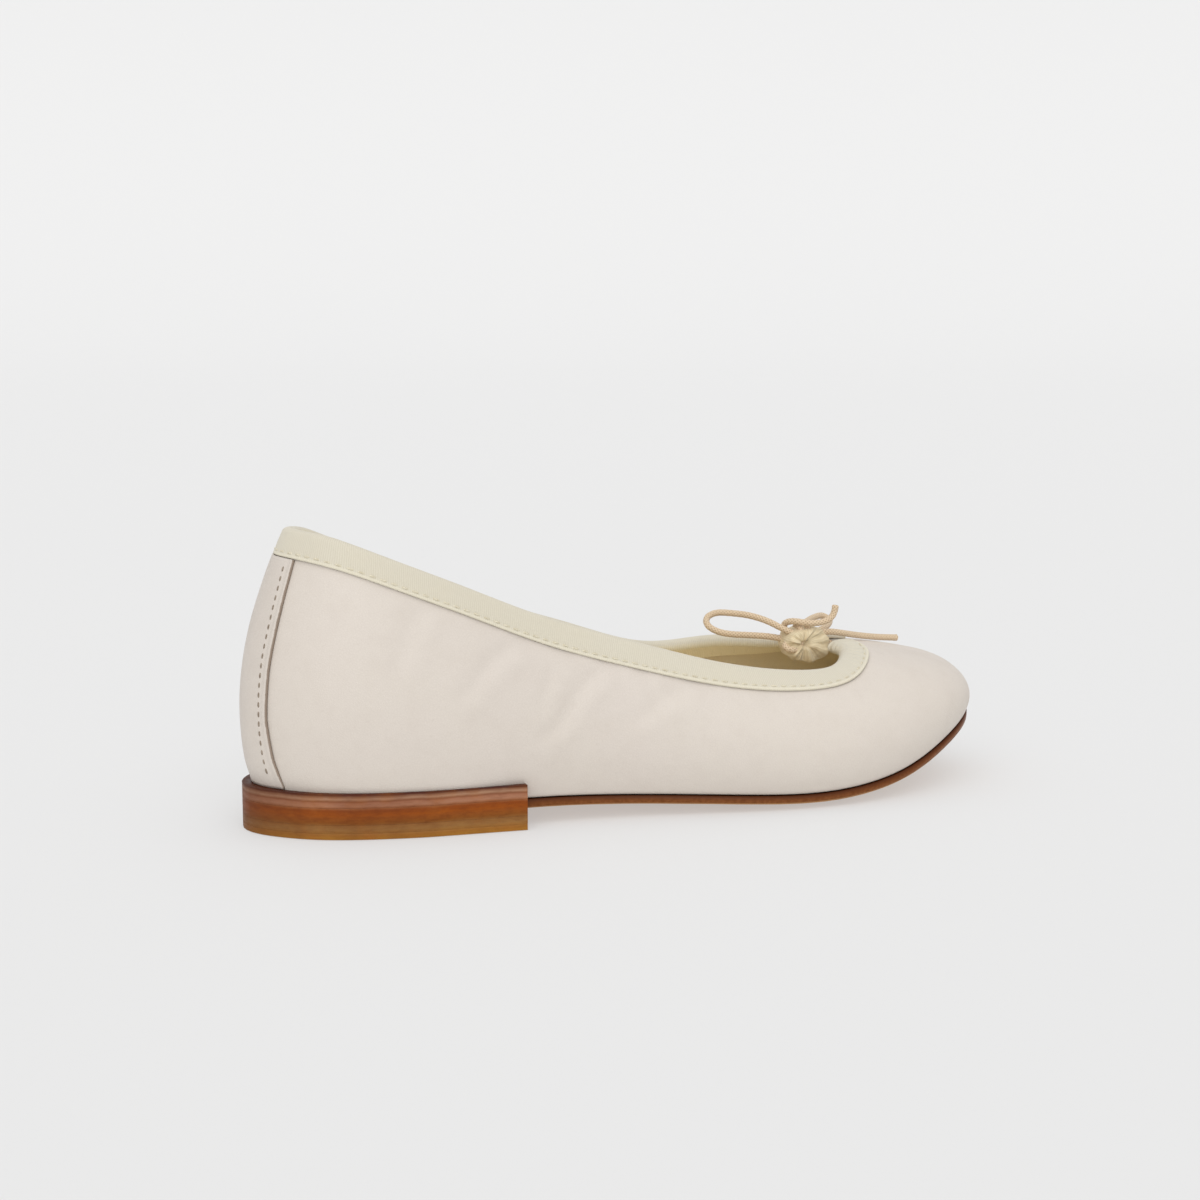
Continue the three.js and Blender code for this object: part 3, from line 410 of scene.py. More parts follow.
def stack_look(name, zs, rough=0.42, coat=0.0, fleck=0.5):
    """edge-inked leather: colour bands by height in mm, mottled grain along the layers"""
    m = Mat(name, rough=rough, spec=0.18, coat=coat, coat_rough=0.3)
    o = m.sep(m.obj); z = m.math("MULTIPLY", o[2], 1000.0)
    st = m.node("ShaderNodeMapping"); st.inputs["Scale"].default_value = (260, 260, 900); m.link(m.obj, st.inputs["Vector"])
    g = m.noise(1.0, 5, 0.65, vec=st.outputs["Vector"]); big = m.noise(110, 4, 0.6); spot = m.voronoi(900)
    run = m.node("ShaderNodeMapping"); run.inputs["Scale"].default_value = (26, 26, 5); m.link(m.obj, run.inputs["Vector"])
    wide = m.noise(1.0, 3, 0.5, vec=run.outputs["Vector"])
    zz = m.math("ADD", z, m.math("MULTIPLY", m.math("SUBTRACT", m.math("ADD", big, wide), 1.0), 1.1))
    lo, hi = zs[0][0], zs[-1][0]
    c = m.ramp(m.range(zz, lo, hi, 0.0, 1.0), [((p - lo) / (hi - lo), col) for p, col in zs])
    c = m.mix(m.range(wide, 0.50, 0.68, 0.0, 0.5), c, ink(100, 50, 26))
    c = m.mix(m.range(g, 0.42, 0.75, 0.0, fleck), c, ink(96, 48, 16))
    c = m.mix(m.range(big, 0.5, 0.75, 0.0, 0.30), c, ink(172, 104, 44))
    c = m.mix(m.range(spot, 0.0, 0.16, 0.3, 0.0), c, ink(74, 36, 14))
    back = m.range(o[0], -0.119, -0.100, 0.55, 0.0)
    c = m.mix(back, c, ink(92, 54, 36))
    nz = m.sep(m.node("ShaderNodeNewGeometry").outputs["Normal"])[2]
    c = m.mix(m.range(nz, -0.6, -0.9, 0.0, 1.0), c, m.mix(m.range(big, 0.35, 0.7, 0, 1), srgb(176, 134, 84), srgb(150, 108, 62)))
    m.color(c)
    m.rough(m.range(g, 0.3, 0.7, rough - 0.06, rough + 0.14))
    m.bump(g, 0.00010, 0.4); m.bump(big, 0.00012, 0.2)
    return m
k = SIZE
EDGE = [(0.0, ink(160, 112, 48)), (1.2, ink(152, 102, 46)), (2.9, ink(146, 106, 62)), (4.1, ink(137, 94, 52)), (5.1, ink(134, 80, 36)), (6.3, ink(140, 78, 34)), (7.4, ink(146, 76, 24)), (8.7, ink(134, 68, 24)), (9.3, ink(144, 88, 54)), (10.1, ink(166, 118, 92)), (11.0, ink(160, 110, 84)), (11.5, ink(132, 84, 60)), (12.2, ink(166, 128, 102)), (12.8, ink(134, 96, 74)), (13.3, ink(74, 40, 34)), (13.8, ink(62, 34, 30))]
M_RAND = stack_look("rand_look", EDGE, fleck=0.3)
M_LIFT = stack_look("lift_upper_look", EDGE, fleck=0.5)
M_LIFT2 = stack_look("lift_lower_look", EDGE, fleck=0.35)
M_TOP = stack_look("top_piece_look", EDGE, fleck=0.3)
def plain(name, a, b, rough, scale=900, spec=0.3, bump=0.00008, metal=0.0):
    m = Mat(name, rough=rough, spec=spec, metal=metal); n1 = m.noise(scale, 4, 0.6); n2 = m.noise(scale / 8, 3)
    m.color(m.mix(m.range(m.math("ADD", n1, n2), 0.8, 1.2, 0, 1), a, b)); m.rough(m.range(n1, 0.3, 0.7, rough - 0.06, rough + 0.06)); m.bump(n1, bump, 0.5); return m
M_FIBRE = plain("stiffener_look", srgb(196, 172, 128), srgb(170, 146, 104), 0.85)
M_BOARD = plain("board_look", srgb(176, 148, 108), srgb(150, 122, 84), 0.9, 1400)
M_CORK = plain("cork_look", srgb(184, 146, 96), srgb(120, 84, 48), 0.9, 500)
M_FOAM = plain("foam_look", srgb(232, 224, 206), srgb(214, 204, 184), 0.92, 2200)
M_NAIL = plain("nail_look", srgb(190, 156, 92), srgb(150, 120, 66), 0.32, 1500, 0.5, 0.00002, 1.0)

# ---------------------------------------------------------------- cords (before everything else that is made)
def catmull(P, step=0.3):
    P = np.array(P, float); Q = np.vstack([2*P[0]-P[1], P, 2*P[-1]-P[-2]]); out = []
    for i in range(1, len(Q) - 2):
        p0, p1, p2, p3 = Q[i-1:i+3]
        d = [max(np.linalg.norm(b-a), 1e-6)**.5 for a, b in ((p0, p1), (p1, p2), (p2, p3))]
        t0, t1 = 0.0, d[0]; t2 = t1 + d[1]; t3 = t2 + d[2]
        for t in np.linspace(t1, t2, 16, endpoint=False):
            A1=(t1-t)/(t1-t0)*p0+(t-t0)/(t1-t0)*p1; A2=(t2-t)/(t2-t1)*p1+(t-t1)/(t2-t1)*p2; A3=(t3-t)/(t3-t2)*p2+(t-t2)/(t3-t2)*p3
            B1=(t2-t)/(t2-t0)*A1+(t-t0)/(t2-t0)*A2; B2=(t3-t)/(t3-t1)*A2+(t-t1)/(t3-t1)*A3
            out.append((t2-t)/(t2-t1)*B1+(t-t1)/(t2-t1)*B2)
    out.append(P[-1]); out = np.array(out)
    s = np.r_[0, np.cumsum(np.linalg.norm(np.diff(out, axis=0), axis=1))]; n = int(round(s[-1] / step)); u = np.linspace(0, s[-1], n + 1)
    R = np.stack([np.interp(u, s, out[:, c]) for c in range(3)], -1)
    for _ in range(24): R[1:-1] = (R[:-2] + 2 * R[1:-1] + R[2:]) / 4
    return R
def fold_centre(t):
    t = np.asarray(t, float); n, up = frame_at(t, np.ones_like(t)); return S(t, np.ones_like(t)) - n * LI / 2 - up * 0.12
def wrap(n=16):
    out = []
    for i in range(n + 1):
        s = i / n; a = math.radians(-152 - 478 * s); out.append([173.7 + 3.7 * s, 4.0 * math.cos(a), 44.3 + 4.0 * math.sin(a)])
    return out
_d = np.array([-0.3, 0, 0.5])
CORD_LONG = [list(fold_centre(12.42)), list(fold_centre(12.3)), list(fold_centre(12.18) + _d),
  [184.4, 1.2, 42.6], [182, 1.2, 43.1], [178, 1.2, 43.1], [174, 1.2, 43.1], [170, 2.3, 43.9], [166, 3.5, 44.6],
  [160.4, 4.8, 45.1], [154.6, 5.8, 45.6], [150.8, 7.2, 46.4], [148.4, 9.8, 48.1], [149.2, 12.2, 50.1],
  [152.6, 12.8, 51.3], [157, 11, 51.2], [161.4, 7.4, 50.8], [165.6, 3, 49.5], [169.4, -0.2, 47.4],
  [173.8, -1.2, 45.55], [178, -1.2, 45.5], [181.2, -1.2, 45.7], [184.2, -1.1, 45.8], [188, -0.6, 45.2],
  [192.5, 0.6, 44.2], [197, 1.6, 43.3], [203, 2.8, 42.3], [210.8, 4, 41.4]]
CORD_WRAP = [list(fold_centre(35.58)), list(fold_centre(35.7)), list(fold_centre(35.82) + _d),
  [184.4, -1.2, 42.6], [182, -1.2, 43.1], [178, -1.2, 43.1], [174.4, -1.2, 43.1], [171.8, -1.2, 43.1],
  [169.7, -1.6, 42.8], [168.8, -3.1, 42.1], [169.9, -4.5, 41.5], [171.8, -4.6, 41.3]] + wrap() + [
  [178.4, 2.8, 48.2], [181, 6.4, 48.2], [185.6, 10.8, 48.4], [189.6, 13.4, 48.2], [191.3, 12.5, 47.2],
  [189.3, 8.4, 46.5], [185.5, 3.7, 46.2], [182.2, 1.4, 45.8], [178, 1.2, 45.5], [174.6, 1.2, 45.5],
  [172.4, 1.8, 45.8], [171, 2.8, 46.9], [170.9, 2.4, 48.4], [172, -0.2, 49.6], [173.8, -2.9, 49.7],
  [176.9, -4.3, 49.3], [180, -4.8, 49.5], [182.8, -5, 50.3], [184.4, -5, 52], [184.8, -5, 54.4]]
for nm, pts in (("bow_cord_long_loop", CORD_LONG), ("bow_cord_wrap_loop", CORD_WRAP)):
    path = catmull(pts)
    ob = tube(nm + "_spun", path, CORD_R, M_CORD.m, sides=20, body="bow", node=nm, flare=0.08)
tring = np.linspace(12.54, 35.46, 420)
tube("drawstring_run", fold_centre(tring), CORD_R, M_CORD.m, sides=12, node="drawstring_in_tape")

# ---------------------------------------------------------------- upper
CREASES = [((73.5, 53.0), (59.5, 42.0), 0.42, 2.6), ((98.0, 44.0), (83.0, 28.0), 0.50, 2.6), ((84.8, 44.5), (82.6, 37.0), 0.30, 2.0), ((125.0, 38.2), (110.5, 31.6), 0.40, 2.6), ((48.0, 63.5), (39.5, 49.0), 0.30, 3.0)]
def wrinkle(P, t, v):
    x, y, z = P[..., 0], P[..., 1], P[..., 2]
    a = 0.16 * noise(P / 17.0) + 0.07 * noise(P / 7.0 + 9.3)
    lower = smooth(0.02, 0.15, v) * (1 - smooth(0.9, 1.0, v))
    waist = np.exp(-((x - 104) / 30.0) ** 2)
    fold = np.sin((x + 0.55 * z + 6 * noise(P / 24.0 + 3.1)) / 8.5 * 2 * np.pi) * 0.10 * waist * smooth(0.25, 0.8, v)
    tt = np.abs(np.mod(t, 24) - 12)
    pucker = np.sin(tt * 2 * np.pi / 0.30 + 3 * noise(P / 9.0)) * 0.13 * np.exp(-(tt / 1.6) ** 2) * smooth(0.6, 0.95, v)
    crease = 0
    for (x0, z0), (x1, z1), dep, wid in CREASES:
        for side in (1, -1):
            px, pz = x - (0 if side > 0 else 7.0), z + (0 if side > 0 else 2.5)
            L = math.hypot(x1 - x0, z1 - z0); ux, uz = (x1 - x0) / L, (z1 - z0) / L
            s_ = (px - x0) * ux + (pz - z0) * uz; q = (px - x0) * -uz + (pz - z0) * ux + 0.8 * np.sin(s_ / 4.0)
            near = smooth(-5, 3, s_) * (1 - smooth(L - 3, L + 9, s_)) * (smooth(8, 14, -side * y))
            crease = crease + near * (-dep * np.exp(-(q / wid) ** 2) + 0.5 * dep * np.exp(-((q - 1.9 * wid) / wid) ** 2))
    return (a + fold + pucker) * lower + crease * lower
nT = 560
t = np.arange(nT) / nT * 24.0
vt = v_down(t, TOP_CUT); vb = v_up(t, 1.3)
lin = np.linspace(0, 1, 74)
V_ = vt[:, None] + (vb - vt)[:, None] * lin[None]
T_ = np.repeat(t[:, None], 74, 1)
P0 = S(T_, V_); n0, _ = frame_at(T_, V_)
wall = P0 + n0 * wrinkle(P0, T_, V_)[..., None]
F0 = fF(t); o0 = plan_n(fF, t)
def marg(inset, lift):
    x, y = F0[:, 0] - o0[:, 0] * inset, F0[:, 1] - o0[:, 1] * inset
    return np.stack([x, y, sole_z(x, y) + lift], -1)
a0, a1, a2 = wall[:, -1], F0 + np.array([0, 0, 0.0]), marg(1.3, 0)
corner = np.stack([a0*(1-s)**2 + 2*a1*s*(1-s) + a2*s*s for s in (0.2, 0.4, 0.6, 0.8, 1.0)], 1)
outer = np.concatenate([wall, corner, np.stack([marg(3, 0), marg(6, 0), marg(9, 0)], 1)], 1)
vi = vt[:, None] + (v_up(t, 1.8) - vt)[:, None] * np.linspace(0, 1, 74)[None]
inner = np.concatenate([off(T_, vi, -LEATHER), np.stack([marg(1.0 + 0.1 * q, LEATHER) for q in range(5)], 1), np.stack([marg(3, LEATHER), marg(6, LEATHER), marg(9, LEATHER)], 1)], 1)
shell("upper_skin", outer, inner, True, M_UPPER.m, node="upper_leather")

# ---------------------------------------------------------------- linings
def cw(t, v):
    a = np.minimum(np.mod(t, 24), 24 - np.mod(t, 24)); b = np.abs(np.mod(t, 24) - 12)
    c = (1 - smooth(11/3 + 0.1, 11/3 + 1.1, a)) * (1 - smooth(0.68, 0.86, v)); p = (1 - smooth(7/3 + 0.1, 7/3 + 1.1, b)) * (1 - smooth(0.54, 0.74, v))
    return LEATHER + GAP + (STIFF + GAP) * np.maximum(c, p)
def lining(name, t0, t1, nt, mat, node):
    t = np.linspace(t0, t1, nt); a, b = v_down(t, TOP_CUT), v_up(t, 4.0)
    V = a[:, None] + (b - a)[:, None] * np.linspace(0, 1, 34)[None]; T = np.repeat(t[:, None], 34, 1); D = cw(T, V); P = S(T, V)
    wv = 0.10 * noise(P / 12.0 + 31.0) + 0.05 * noise(P / 5.0 + 17.0)
    o, i = off(T, V, -D - 0.02), off(T, V, -D - LINING - wv)
    du = np.concatenate([[0], np.cumsum(np.linalg.norm(np.diff(P[:, 17], axis=0), axis=1))]); dv = np.concatenate([[0], np.cumsum(np.linalg.norm(np.diff(P[nt//2], axis=0), axis=1))])
    uv = np.stack(np.broadcast_arrays(du[:, None], dv[None]), -1) / 1000
    return shell(name, o, i, False, mat, uvo=uv, node=node)
lining("quarter_lining_skin", 17, 31, 240, M_LINING.m, "quarter_lining")
lining("vamp_lining_cloth", 7.03, 16.97, 200, M_TWILL.m, "vamp_lining")

# ---------------------------------------------------------------- binding tape with its stitching
NECK = 0.4
nt = 900
t = np.linspace(12 + NECK, 36 - NECK, nt)
near = np.minimum(t - 12, 36 - t)
arc = np.concatenate([[0], np.cumsum(np.linalg.norm(np.diff(S(t, np.ones(nt)), axis=0), axis=1))])
g = np.exp(-np.minimum(arc, arc[-1] - arc) / 13.0)
ends = np.exp(-np.minimum(arc, arc[-1] - arc) / 4.5)
puck = np.sin(arc / 2.5 * 2 * np.pi + 2.2 * np.sin(arc / 9.0)) * 0.30 * g
soft = 0.07 * noise(np.stack([arc / 6.0, arc * 0 + 4.4, arc * 0], -1))
leg_o = [(TAPE_LEG + 0.02, 0.36), (TAPE_LEG + 0.10, 0.58), (TAPE_LEG + 0.05, 0.86), (TAPE_LEG - 0.16, 1.04), (TAPE_LEG - 0.45, 1.07), (TAPE_LEG - 0.75, 0.99), (TAPE_LEG - 1.3, 0.96), (4.6, 1.0), (3.9, 1.02), (3.1, 1.03), (2.3, 1.02), (1.5, 1.0), (0.8, 1.0)]
outs, inns, vco = [], [], []
acc = 0.0; last = None
for d, o in leg_o:
    v = v_down(t, d); k_ = smooth(TAPE_LEG - 0.3, TAPE_LEG - 2.5, d)
    outs.append(off(t, v, o + (puck * (0.35 + 0.65 * k_) + soft) * (0.3 + 0.7 * k_))); inns.append(off(t, v, GAP + 0.02)); vco.append(abs(TAPE_LEG - d))
nrm, up = frame_at(t, np.ones(nt)); T1 = S(t, np.ones(nt)); mid = -LI / 2; aa = (2 * (GAP + TAPE) + LI) / 2
for ang in range(10, 180, 10):
    c, s_ = math.cos(math.radians(ang)), math.sin(math.radians(ang))
    ww = 1 + 0.28 * g[:, None] * s_ + 0.10 * ends[:, None]
    rise = TAPE_RISE + (puck * 0.9 + soft)[:, None] * s_
    outs.append(T1 + nrm * (mid + aa * c) * 1.0 + up * rise * s_ * ww)
    inns.append(T1 + nrm * (mid + (aa - TAPE) * c) + up * (TAPE_RISE - TAPE) * s_)
    vco.append(TAPE_LEG + aa * math.radians(ang))
for d, o in reversed(leg_o):
    v = v_down(t, d)
    outs.append(off(t, v, -(LI + GAP + 0.12 + (o - 0.3) * 0.78))); inns.append(off(t, v, -(LI + GAP - 0.02))); vco.append(TAPE_LEG * 2 + aa * math.pi - abs(TAPE_LEG - d))
outer, inner = np.stack(outs, 1), np.stack(inns, 1)
uv = np.stack(np.broadcast_arrays(arc[:, None], np.array(vco)[None]), -1) / 1000
shell("tape_folded", outer, inner, False, M_TAPE.m, uvo=uv, node="binding_tape")
s_at = np.arange(1.5, arc[-1] - 3.0, 3.05)
def on_tape(s, d, o):
    tt = np.interp(s, arc, t); v = np.concatenate([v_down(np.array([a]), d) for a in tt]); return off(tt, v, o), frame_at(tt, v)[0]
A, N1 = on_tape(s_at, TAPE_LEG - 1.25, 1.0); B, _ = on_tape(s_at + 2.15, TAPE_LEG - 1.25, 1.0)
stitches("tape_stitching", A, B, N1, M_THREAD.m, w=0.24, lift=0.10)

# the tape ends are drawn up into a small puckered bunch where the cords leave it
def gather():
    nf, nsn = 240, 64; ph = np.arange(nf) / nf * 2 * np.pi; ss = np.linspace(0.0, np.pi, nsn)
    key = np.radians([0, 30, 60, 90, 120, 150, 180, 210, 240, 270, 300, 330, 360]); val = [10.4, 8.0, 4.9, 3.9, 4.0, 4.4, 4.9, 5.0, 5.4, 5.9, 7.4, 10.0, 10.4]
    R = np.interp(ph, key, val); R = (np.roll(R, 4) + np.roll(R, -4) + 2 * R + np.roll(R, 8) + np.roll(R, -8)) / 6
    PH, SS = np.meshgrid(ph, ss, indexing="ij"); side = np.sign(np.cos(SS) + 1e-9)
    rho = np.sin(SS) ** 0.72
    jit = 0.9 * np.sin(PH * 2 + 1.0 + side) + 0.6 * np.sin(3 * PH + 2.2 * side)
    bend = 1.3 * (rho - 0.5) * np.sin(PH + 0.7 * side)
    pl = 0.62 * np.cos(6 * PH + jit + bend + 0.8 * side) + 0.45 * np.cos(11 * PH - 1.4 * jit + 2.0 * bend) * smooth(0.25, 0.7, rho)
    amp = 0.10 * smooth(0.05, 0.4, rho) * (1 - 0.35 * smooth(0.85, 1.0, rho))
    r = R[:, None] * rho * (1 + amp * pl * 0.6)
    dimple = np.exp(-(rho / 0.16) ** 2)
    By = 5.5 * (0.35 + 0.65 * np.abs(np.cos(SS)) ** 0.6) * (1 - 0.42 * dimple) * (1 + 0.13 * pl * smooth(0.05, 0.35, rho) * (1 - smooth(0.85, 1.0, rho)))
    taper = 1 - 0.22 * smooth(0.3, 1.0, np.clip(np.cos(PH), 0, 1) * rho)
    x = 174.3 + r * np.cos(PH); z = 43.3 + r * np.sin(PH); y = -side * By * taper * np.clip(np.abs(np.cos(SS)) * 3, 0, 1)
    P = np.stack([x, y, z], -1); P = P + 0.45 * np.stack([noise(P / 3.0), noise(P / 3.0 + 7.7), noise(P / 3.0 + 3.3)], -1)
    V = [P[:, 1:-1].reshape(-1, 3), P[:, 0].mean(0)[None], P[:, -1].mean(0)[None]]; m = nsn - 2; V = np.concatenate(V); F = []
    for i in range(nf):
        j = (i + 1) % nf
        for k_ in range(m - 1): F.append((i*m+k_, j*m+k_, j*m+k_+1, i*m+k_+1))
        F.append((nf*m, j*m, i*m)); F.append((nf*m+1, i*m+m-1, j*m+m-1))
    uvm = np.stack([PH * 4.6, SS * 5.0 + 3.0], -1)[:, 1:-1].reshape(-1, 2); uvm = np.concatenate([uvm, [[0, 3.0], [0, 18.0]]]) / 1000
    V = row(V); F = orient(V, F)
    ob = make("throat_gathers", V, F, M_GATHER.m, uvm)
    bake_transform(ob)
gather()

# ---------------------------------------------------------------- backstay
BV, BT = [0, 0.04, 0.15, 0.3, 0.5, 0.7, 0.85, 1.0], [1.11, 1.02, 0.86, 0.74, 0.72, 0.75, 0.77, 0.78]
SV, ST = [0.05, 0.092, 0.159, 0.263, 0.399, 0.538, 0.665, 0.8, 0.95], [0.72, 0.691, 0.636, 0.594, 0.564, 0.55, 0.568, 0.568, 0.55]
ns, nv = 101, 90
hi = v_down(np.linspace(-1, 1, ns) * 0.95, TAPE_LEG + 0.35); s_ = np.linspace(-1, 1, ns)
lo = v_up(s_ * 1.05, 13.35 - fF(s_ * 1.05)[:, 2])
V = hi[None] + (lo[None] - hi[None]) * np.linspace(0, 1, nv)[:, None]; T = s_[None] * np.interp(V, BV, BT)
P = S(T, V); edge = (1 - np.abs(s_)[None]) * 12.0
round_ = np.sqrt(np.clip(1 - (1 - np.clip(edge / 0.8, 0, 1)) ** 2, 0, 1))
seam = -0.16 * np.exp(-((edge - 1.9) / 0.7) ** 2)
skive = 1 - 0.55 * (1 - smooth(0, 0.09, V - lo[None]))
outer = off(T, V, GAP * 0.6 + (0.37 + 0.55 * round_) * skive + seam * skive + 0.07 * noise(P / 9.0 + 5.5)); inner = off(T, V, GAP * 0.6 + 0 * V)
uvb = np.stack([edge + 0 * V, 12 * V], -1) / 1000
shell("backstay_skin", outer, inner, False, M_BACK.m, uvo=uvb, node="backstay")
Aa, Bb, Nn = [], [], []
for side in (-1, 1):
    vv = np.linspace(0.085, 0.905, 400); tt = side * np.interp(vv, SV, ST); P = off(tt, vv, GAP + 0.78)
    s = np.concatenate([[0], np.cumsum(np.linalg.norm(np.diff(P, axis=0), axis=1))])
    for q in np.arange(0.8, s[-1] - 2.4, 2.75):
        a = np.array([np.interp(q, s, P[:, c]) for c in range(3)]); b = np.array([np.interp(q + 1.85, s, P[:, c]) for c in range(3)])
        i = int(np.interp(q, s, np.arange(400))); Aa.append(a); Bb.append(b); Nn.append(frame_at(tt[i:i+1], vv[i:i+1])[0][0])
stitches("backstay_stitching", np.array(Aa), np.array(Bb), np.array(Nn), M_BACKSTAY_THREAD_AND_HOLE_SHADE.m, w=0.30, lift=0.04)

# ---------------------------------------------------------------- sole layers
def plate(name, inset, ztop, zbot, mat, node, r=0.9, p=2.6, n=200, across=40, bumpy=None, t0=0.0, t1=12.0):
    tt = t0 + (t1 - t0) * (1 - np.cos(np.linspace(0, np.pi, n + 1))) / 2
    def edge(t): F = fF(t); o = plan_n(fF, t); return F[:, :2] - o * inset
    a, b = edge(tt), edge(24 - tt)
    sx = np.linspace(0, 1, across + 1); sx = sx - 0.13 * np.sin(2 * np.pi * sx)
    G = a[:, None] + (b - a)[:, None] * sx[None, :, None]
    tt2 = np.linspace(0, 24, 1500, endpoint=False); ring = edge(tt2)
    flat = G.reshape(-1, 2); e = np.concatenate([np.sqrt(((flat[i:i+400, None] - ring[None]) ** 2).sum(-1)).min(1) for i in range(0, len(flat), 400)]).reshape(G.shape[:2])
    if t0 > 0: e = np.minimum(e, np.minimum(G[..., 0] - G[0, :, 0].min(), G[-1, :, 0].max() - G[..., 0]).clip(0))
    x, y = G[..., 0], G[..., 1]; zt, zb = ztop(x, y), zbot(x, y); zm, h = (zt + zb) / 2, (zt - zb) / 2
    q = (1 - (1 - np.clip(e / r, 0, 1)) ** p) ** (1 / p)
    q[:, 0] = q[:, -1] = 0; q[0] = q[-1] = 0
    if bumpy is not None: zt = zt + bumpy(x, y) * np.clip(e / 3, 0, 1)
    top = np.stack([x, y, zm + (zt - zm) * q], -1); bot = np.stack([x, y, zm - h * q], -1)
    m = across + 1; V = np.concatenate([top.reshape(-1, 3), bot.reshape(-1, 3)]); o = (n + 1) * m; F = []
    same = {}
    for i in range(n + 1):
        for j in range(m):
            if j in (0, across) or i in (0, n): same[o + i*m + j] = i*m + j
        if i in (0, n):
            for j in range(m): same[o + i*m + j] = i*m + (0 if (t0 == 0 or True) and np.allclose(a[i], b[i]) else j)
    tip0, tipn = np.allclose(a[0], b[0]), np.allclose(a[-1], b[-1])
    def idx(i, j, k):
        if (i == 0 and tip0) or (i == n and tipn): j = 0
        q_ = i*m + j
        if k and not (i in (0, n) or j in (0, across)): q_ += o
        return q_
    for i in range(n):
        for j in range(across):
            for k, rev in ((0, 0), (1, 1)):
                f = [idx(i, j, k), idx(i+1, j, k), idx(i+1, j+1, k), idx(i, j+1, k)]; f = [a_ for c_, a_ in enumerate(f) if a_ not in f[:c_]]
                if len(f) >= 3: F.append(tuple(f[::-1] if rev else f))
    used = sorted({a_ for f in F for a_ in f}); re = {a_: c_ for c_, a_ in enumerate(used)}
    drop = np.concatenate([(zt + 0 * x).ravel(), (zt + 0 * x).ravel()])[used] - V[used][:, 2]
    uvp = np.stack([V[used][:, 0], drop], -1) / 1000
    V = row(V[used]); F = orient(V, [tuple(re[a_] for a_ in f) for f in F])
    ob = make(name, V, F, mat, uvp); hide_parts(node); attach(ob, "shoe")
    return ob
plate("outsole_skin", -SOLE_OUT, lambda x, y: sole_z(x, y) - GAP * 0.7, lambda x, y: sole_z(x, y) - GAP - SOLE, M_SOLE.m, "outsole", r=0.55, p=3.0)
zp = LEATHER + 2 * GAP + BOARD
foam = plate("insole_foam_pad", 3.2, lambda x, y: sole_z(x, y) + zp + PAD, lambda x, y: sole_z(x, y) + zp, M_FOAM.m, "insole_foam", r=1.2, n=90, across=18)
def foot_print(x, y):
    return -0.28 * np.exp(-((x - 38) / 20) ** 2 - (y / 13) ** 2) - 0.30 * np.exp(-((x - 168) / 20) ** 2 - (y / 18) ** 2) + 0.06 * noise(np.stack([x / 9, y / 9, x * 0 + 2.2], -1))
plate("sock_lining_skin", 2.7, lambda x, y: sole_z(x, y) + zp + PAD + GAP + SOCK, lambda x, y: sole_z(x, y) + zp + PAD + GAP, M_SOCK.m, "sock_lining", r=0.6, bumpy=foot_print)

# ---------------------------------------------------------------- CAD pieces that stay, with edges eased and their own finish
def finish_node(name, mat, bevel=0.0, seg=3):
    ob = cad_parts[name]; ob.data.materials.clear(); ob.data.materials.append(mat.m)
    if bevel:
        ob.data.polygons.foreach_set("use_smooth", np.full(len(ob.data.polygons), True))
        b = ob.modifiers.new("eased_edges", "BEVEL"); b.width = bevel / 1000; b.segments = seg; b.limit_method = "ANGLE"; b.angle_limit = math.radians(35); b.harden_normals = True
import bmesh
def heel_skin(node, name, mat, lo, hi, lo2, hi2, bevel):
    """the CAD layer with its glue gap closed, its nearly flat faces merged and its edges eased"""
    bm = bmesh.new(); bm.from_mesh(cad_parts[node].data)
    bmesh.ops.remove_doubles(bm, verts=bm.verts, dist=1e-6)
    for v in bm.verts:
        z = v.co.z * 1000 / SIZE
        if abs(z - lo) < 0.03: v.co.z = lo2 * SIZE / 1000
        elif abs(z - hi) < 0.03: v.co.z = hi2 * SIZE / 1000
    bmesh.ops.dissolve_limit(bm, angle_limit=math.radians(0.4), verts=bm.verts, edges=bm.edges)
    me = bpy.data.meshes.new(name); bm.to_mesh(me); bm.free()
    me.polygons.foreach_set("use_smooth", np.full(len(me.polygons), True)); me.materials.append(mat.m)
    ob = bpy.data.objects.new(name, me); bpy.context.scene.collection.objects.link(ob)
    b = ob.modifiers.new("eased_edges", "BEVEL"); b.width = bevel / 1000; b.segments = 3; b.limit_method = "ANGLE"; b.angle_limit = math.radians(38); b.harden_normals = True
    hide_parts(node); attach(ob, "shoe")
heel_skin("heel_top_piece", "heel_top_piece_skin", M_TOP, 0.0, 1.7, 0.0, 1.84, 0.20)
heel_skin("heel_lift_lower", "heel_lift_lower_skin", M_LIFT2, 2.0, 4.0, 1.86, 4.14, 0.05)
heel_skin("heel_lift_upper", "heel_lift_upper_skin", M_LIFT, 4.3, 8.9, 4.16, 9.04, 0.05)
heel_skin("heel_rand", "heel_rand_skin", M_RAND, 9.2, 13.1, 9.06, 13.1, 0.35)
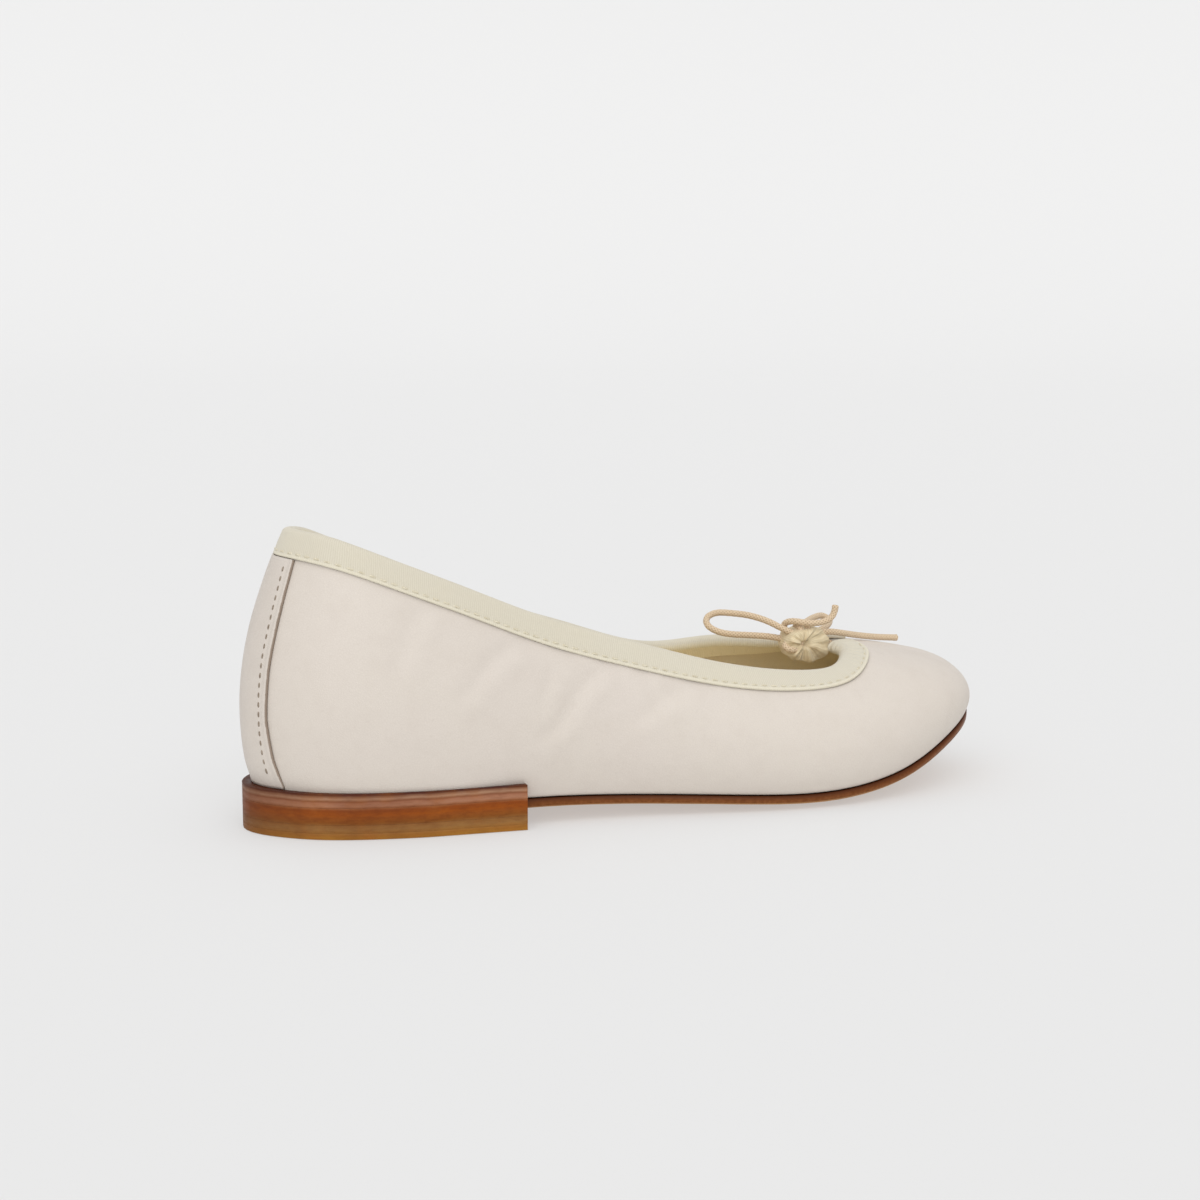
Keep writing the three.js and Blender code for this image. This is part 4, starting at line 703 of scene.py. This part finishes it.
for nm, mt, bv in (("heel_counter", M_FIBRE, 0.2), ("toe_puff", M_FIBRE, 0.2), ("insole_board", M_BOARD, 0.2), ("bottom_filler", M_CORK, 0.2)):
    finish_node(nm, mt, bv)
for i in range(1, 8): finish_node(f"heel_nail_{i}", M_NAIL, 0.15)

# ---------------------------------------------------------------- stage and light
def stage():
    V, F = [], []; prof = []
    for y in np.linspace(-3.0, 2.4, 12): prof.append((y, 0.0))
    for a in np.linspace(0, math.pi / 2, 16)[1:]: prof.append((2.4 + 1.2 * math.sin(a), 1.2 * (1 - math.cos(a))))
    for z in np.linspace(1.2, 5.0, 6)[1:]: prof.append((3.6, z))
    for i, (y, z) in enumerate(prof):
        for x in (-5.0, 5.0): V.append((x, y, z - 0.0002))
    for i in range(len(prof) - 1): F.append((2*i, 2*i+1, 2*i+3, 2*i+2))
    m = Mat("stage_look", rough=0.9, spec=0.1); m.b.inputs["Base Color"].default_value = (0.40, 0.40, 0.40, 1)
    m.b.inputs["Emission Color"].default_value = (1, 1, 1, 1); m.b.inputs["Emission Strength"].default_value = 0.405
    ob = make("studio_sweep", V, F, m.m); ob.rotation_euler = (0, 0, -math.radians(20))
stage()
w = bpy.data.worlds.new("studio"); bpy.context.scene.world = w; w.use_nodes = True
w.node_tree.nodes["Background"].inputs["Color"].default_value = (1, 1, 1, 1); w.node_tree.nodes["Background"].inputs["Strength"].default_value = 0.56
def sun(name, toward, energy, angle, color=(1, 1, 1)):
    L = bpy.data.lights.new(name, "SUN"); L.energy = energy; L.angle = math.radians(angle); L.color = color
    ob = bpy.data.objects.new(name, L); bpy.context.scene.collection.objects.link(ob)
    ob.rotation_mode = "QUATERNION"; ob.rotation_quaternion = Vector(toward).to_track_quat("Z", "Y")
sun("key_soft", (-0.34, -0.72, 0.70), 1.10, 70, (1.0, 0.997, 0.99))
sun("low_fill", (-0.30, -0.85, 0.24), 0.33, 40, (1.0, 0.99, 0.97))
sun("top_soft", (0.10, -0.15, 1.0), 0.55, 90)
